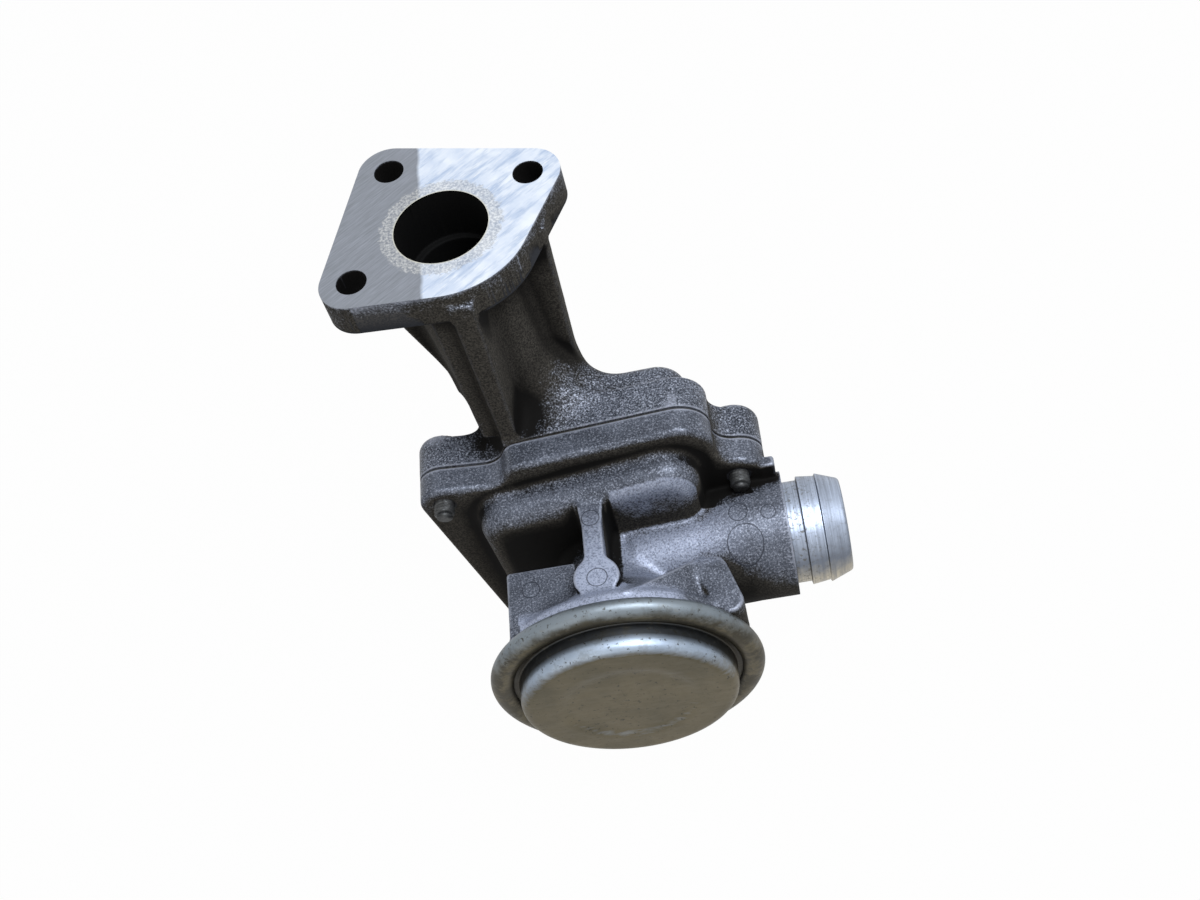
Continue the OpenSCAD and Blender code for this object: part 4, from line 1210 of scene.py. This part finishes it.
# %% Plain finishes of the small and inner pieces
def plain_finish(name, light, dark, mm, metallic, low, high, strength=0.1):
    """Finish with two shades in patches of a size in millimetres, and a roughness that follows."""
    material, node = new_material(name)
    place = node("TexCoord").outputs["Object"]
    patch = node("TexNoise", place, size(mm), 4, 0.65)
    fine = node("TexNoise", place, size(mm / 8), 3, 0.7)
    blend = node("Math MULTIPLY_ADD", patch, 0.6, node("Math MULTIPLY", fine, 0.4))
    colour = node("Mix RGBA", node("MapRange", blend, 0.38, 0.62), rgb(light), rgb(dark))
    bump = node("Bump", Strength=strength, Distance=0.05 * MM, Height=fine)
    node("OutputMaterial", Surface=node(
        "BsdfPrincipled", Base_Color=colour, Metallic=metallic,
        Roughness=node("MapRange", blend, 0.3, 0.7, low, high), Normal=bump))
    return material


cast = cast_aluminium("die_cast_aluminium_dusty", 0.9, False)
housing_cast = cast_aluminium("die_cast_aluminium_wiped", 0.5, True)
milled = milled_aluminium()
zinc = zinc_sheet()
bright = turned_aluminium()
screw_steel = plain_finish("zinc_plated_screw_steel", "#595b5c", "#333333", 1.2, 0.7, 0.4, 0.6)
gasket_sheet = plain_finish("coated_steel_gasket", "#4b4a47", "#2a2826", 1.5, 0.2, 0.5, 0.7)
cut_steel = plain_finish("ground_sheet_steel", "#b4b7ba", "#8f9294", 3, 1.0, 0.25, 0.4)
spring_steel = plain_finish("cold_rolled_spring_steel", "#8f9090", "#6e6c68", 2, 1.0, 0.28, 0.42)
black_rubber = plain_finish("moulded_black_rubber", "#1c1c1d", "#2b2b2c", 1.5, 0.0, 0.55, 0.75, 0.25)
ground_steel = plain_finish("ground_stem_steel", "#c2c5c8", "#a8abae", 1.5, 1.0, 0.15, 0.28)
guide_plastic = plain_finish("moulded_guide_plastic", "#a39a6e", "#8f8760", 2, 0.0, 0.4, 0.55)

# %% Put the finishes on
give(outlet, cast, milled)
centres = np.zeros(len(outlet.data.polygons) * 3)
outlet.data.polygons.foreach_get("center", centres)
on_top = centres.reshape(-1, 3)[:, 2] / MM > -0.02
outlet.data.polygons.foreach_set("material_index", on_top.astype(np.int32))
give(housing, housing_cast)
give(nipple, bright)
give(can, zinc)
give(ring, zinc)
give(gasket, gasket_sheet)
give(screws, screw_steel)

INNER = {"reed_plate": cut_steel, "reed_stop": cut_steel, "valve_disc": cut_steel,
         "seal_retainer": cut_steel, "inner_plate": cut_steel,
         "reed_petal_left": spring_steel, "reed_petal_right": spring_steel,
         "reed_root_strip": spring_steel, "closing_spring": spring_steel, "valve_seat_ring": bright,
         "disc_seal": black_rubber, "stem_seal": black_rubber, "diaphragm": black_rubber,
         "valve_stem": ground_steel, "stem_guide": guide_plastic, "spring_cup": zinc,
         "reed_screws": screw_steel, "stem_nut": screw_steel, "plate_nut": screw_steel}
for node_name, material in INNER.items():
    give(frame["nodes"][node_name], material)
print("faces of the milled flange:", int(on_top.sum()))


# %% [markdown]
# ## Floor, light and camera
#
# The part stands on a pale floor under one large soft lamp above and behind, a broad weak lamp
# in front and an even sky, as on a photographer's table. The floor shows white to the camera
# and in reflections. The camera stands where the photograph was taken from, which was fitted to
# the flange's outline, the joint and the can.

# %% Floor and sky
def seen(node):
    """One for rays from the camera and for reflected and transmitted ones, zero for others."""
    rays = node("LightPath").outputs
    return node("Math MAXIMUM", rays["Is Camera Ray"],
                node("Math MAXIMUM", rays["Is Glossy Ray"], rays["Is Transmission Ray"]))


def floor_material():
    """White to the camera and to mirrors, pale grey in the light that it gives back."""
    material, node = new_material("pale_floor")
    matt = node("BsdfDiffuse", rgb("#9c9b98"))
    shown = node("MixShader", 0.985, matt, node("Emission", (1, 1, 1, 1), 1.0))
    node("OutputMaterial", Surface=node("MixShader", seen(node), matt, shown))
    return material


FLOOR_Z, FLOOR_REACH = -127.0, 3000
corners = [(x * FLOOR_REACH, y * FLOOR_REACH, FLOOR_Z)
           for x, y in ((-1, -1), (1, -1), (1, 1), (-1, 1))]
floor = new_mesh("floor", corners, [[0, 1, 2, 3]], smooth=False)
give(floor, floor_material())
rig.stage(floor)

scene = bpy.context.scene
world = scene.world or bpy.data.worlds.new("sky")
scene.world = world
world.use_nodes = True
node = emptied(world.node_tree)
sky = node("Background", rgb("#dfe5ee"), 0.28)
node("OutputWorld", Surface=node("MixShader", seen(node), sky, node("Background", (1, 1, 1, 1), 1.0)))


# %% Lamps
def lamp(name, place, target, width, power, colour):
    """Square area lamp at a place, in millimetres, turned to a target."""
    data = bpy.data.lights.new(name, "AREA")
    data.shape, data.size, data.energy, data.color = "SQUARE", width * MM, power, rgb(colour)[:3]
    made = bpy.data.objects.new(name, data)
    scene.collection.objects.link(made)
    made.location = np.array(place) * MM
    aim = np.array(target, float) - np.array(place, float)
    z = -aim / np.linalg.norm(aim)
    x = np.cross((0, 0, 1), z)
    x /= np.linalg.norm(x)
    made.rotation_euler = Matrix(np.stack([x, np.cross(z, x), z], 1).tolist()).to_euler()
    return made


lamp("key", (220, -120, 590), (15, -30, -60), 380, 4.8, "#f4f8ff")
lamp("front", (-250, -600, 150), (15, -30, -80), 500, 0.5, "#fff6ea")

# %% Camera of the photograph
camera_data = bpy.data.cameras.new("camera")
camera_data.sensor_width, camera_data.lens = 36.0, 48.0
camera = bpy.data.objects.new("camera", camera_data)
scene.collection.objects.link(camera)
camera.location = np.array((59.358, -248.998, 247.837)) * MM
camera.rotation_euler = [math.radians(angle) for angle in (35.35365, 10.13192, -4.76211)]
scene.camera = camera
scene.view_settings.view_transform = "Standard"

# %% Sizes and the last line
json.dump({"cad": [list(c) for c in cad_box], "visual": [list(c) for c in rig.bounds()]},
          open("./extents.json", "w"))
print(open("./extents.json").read())
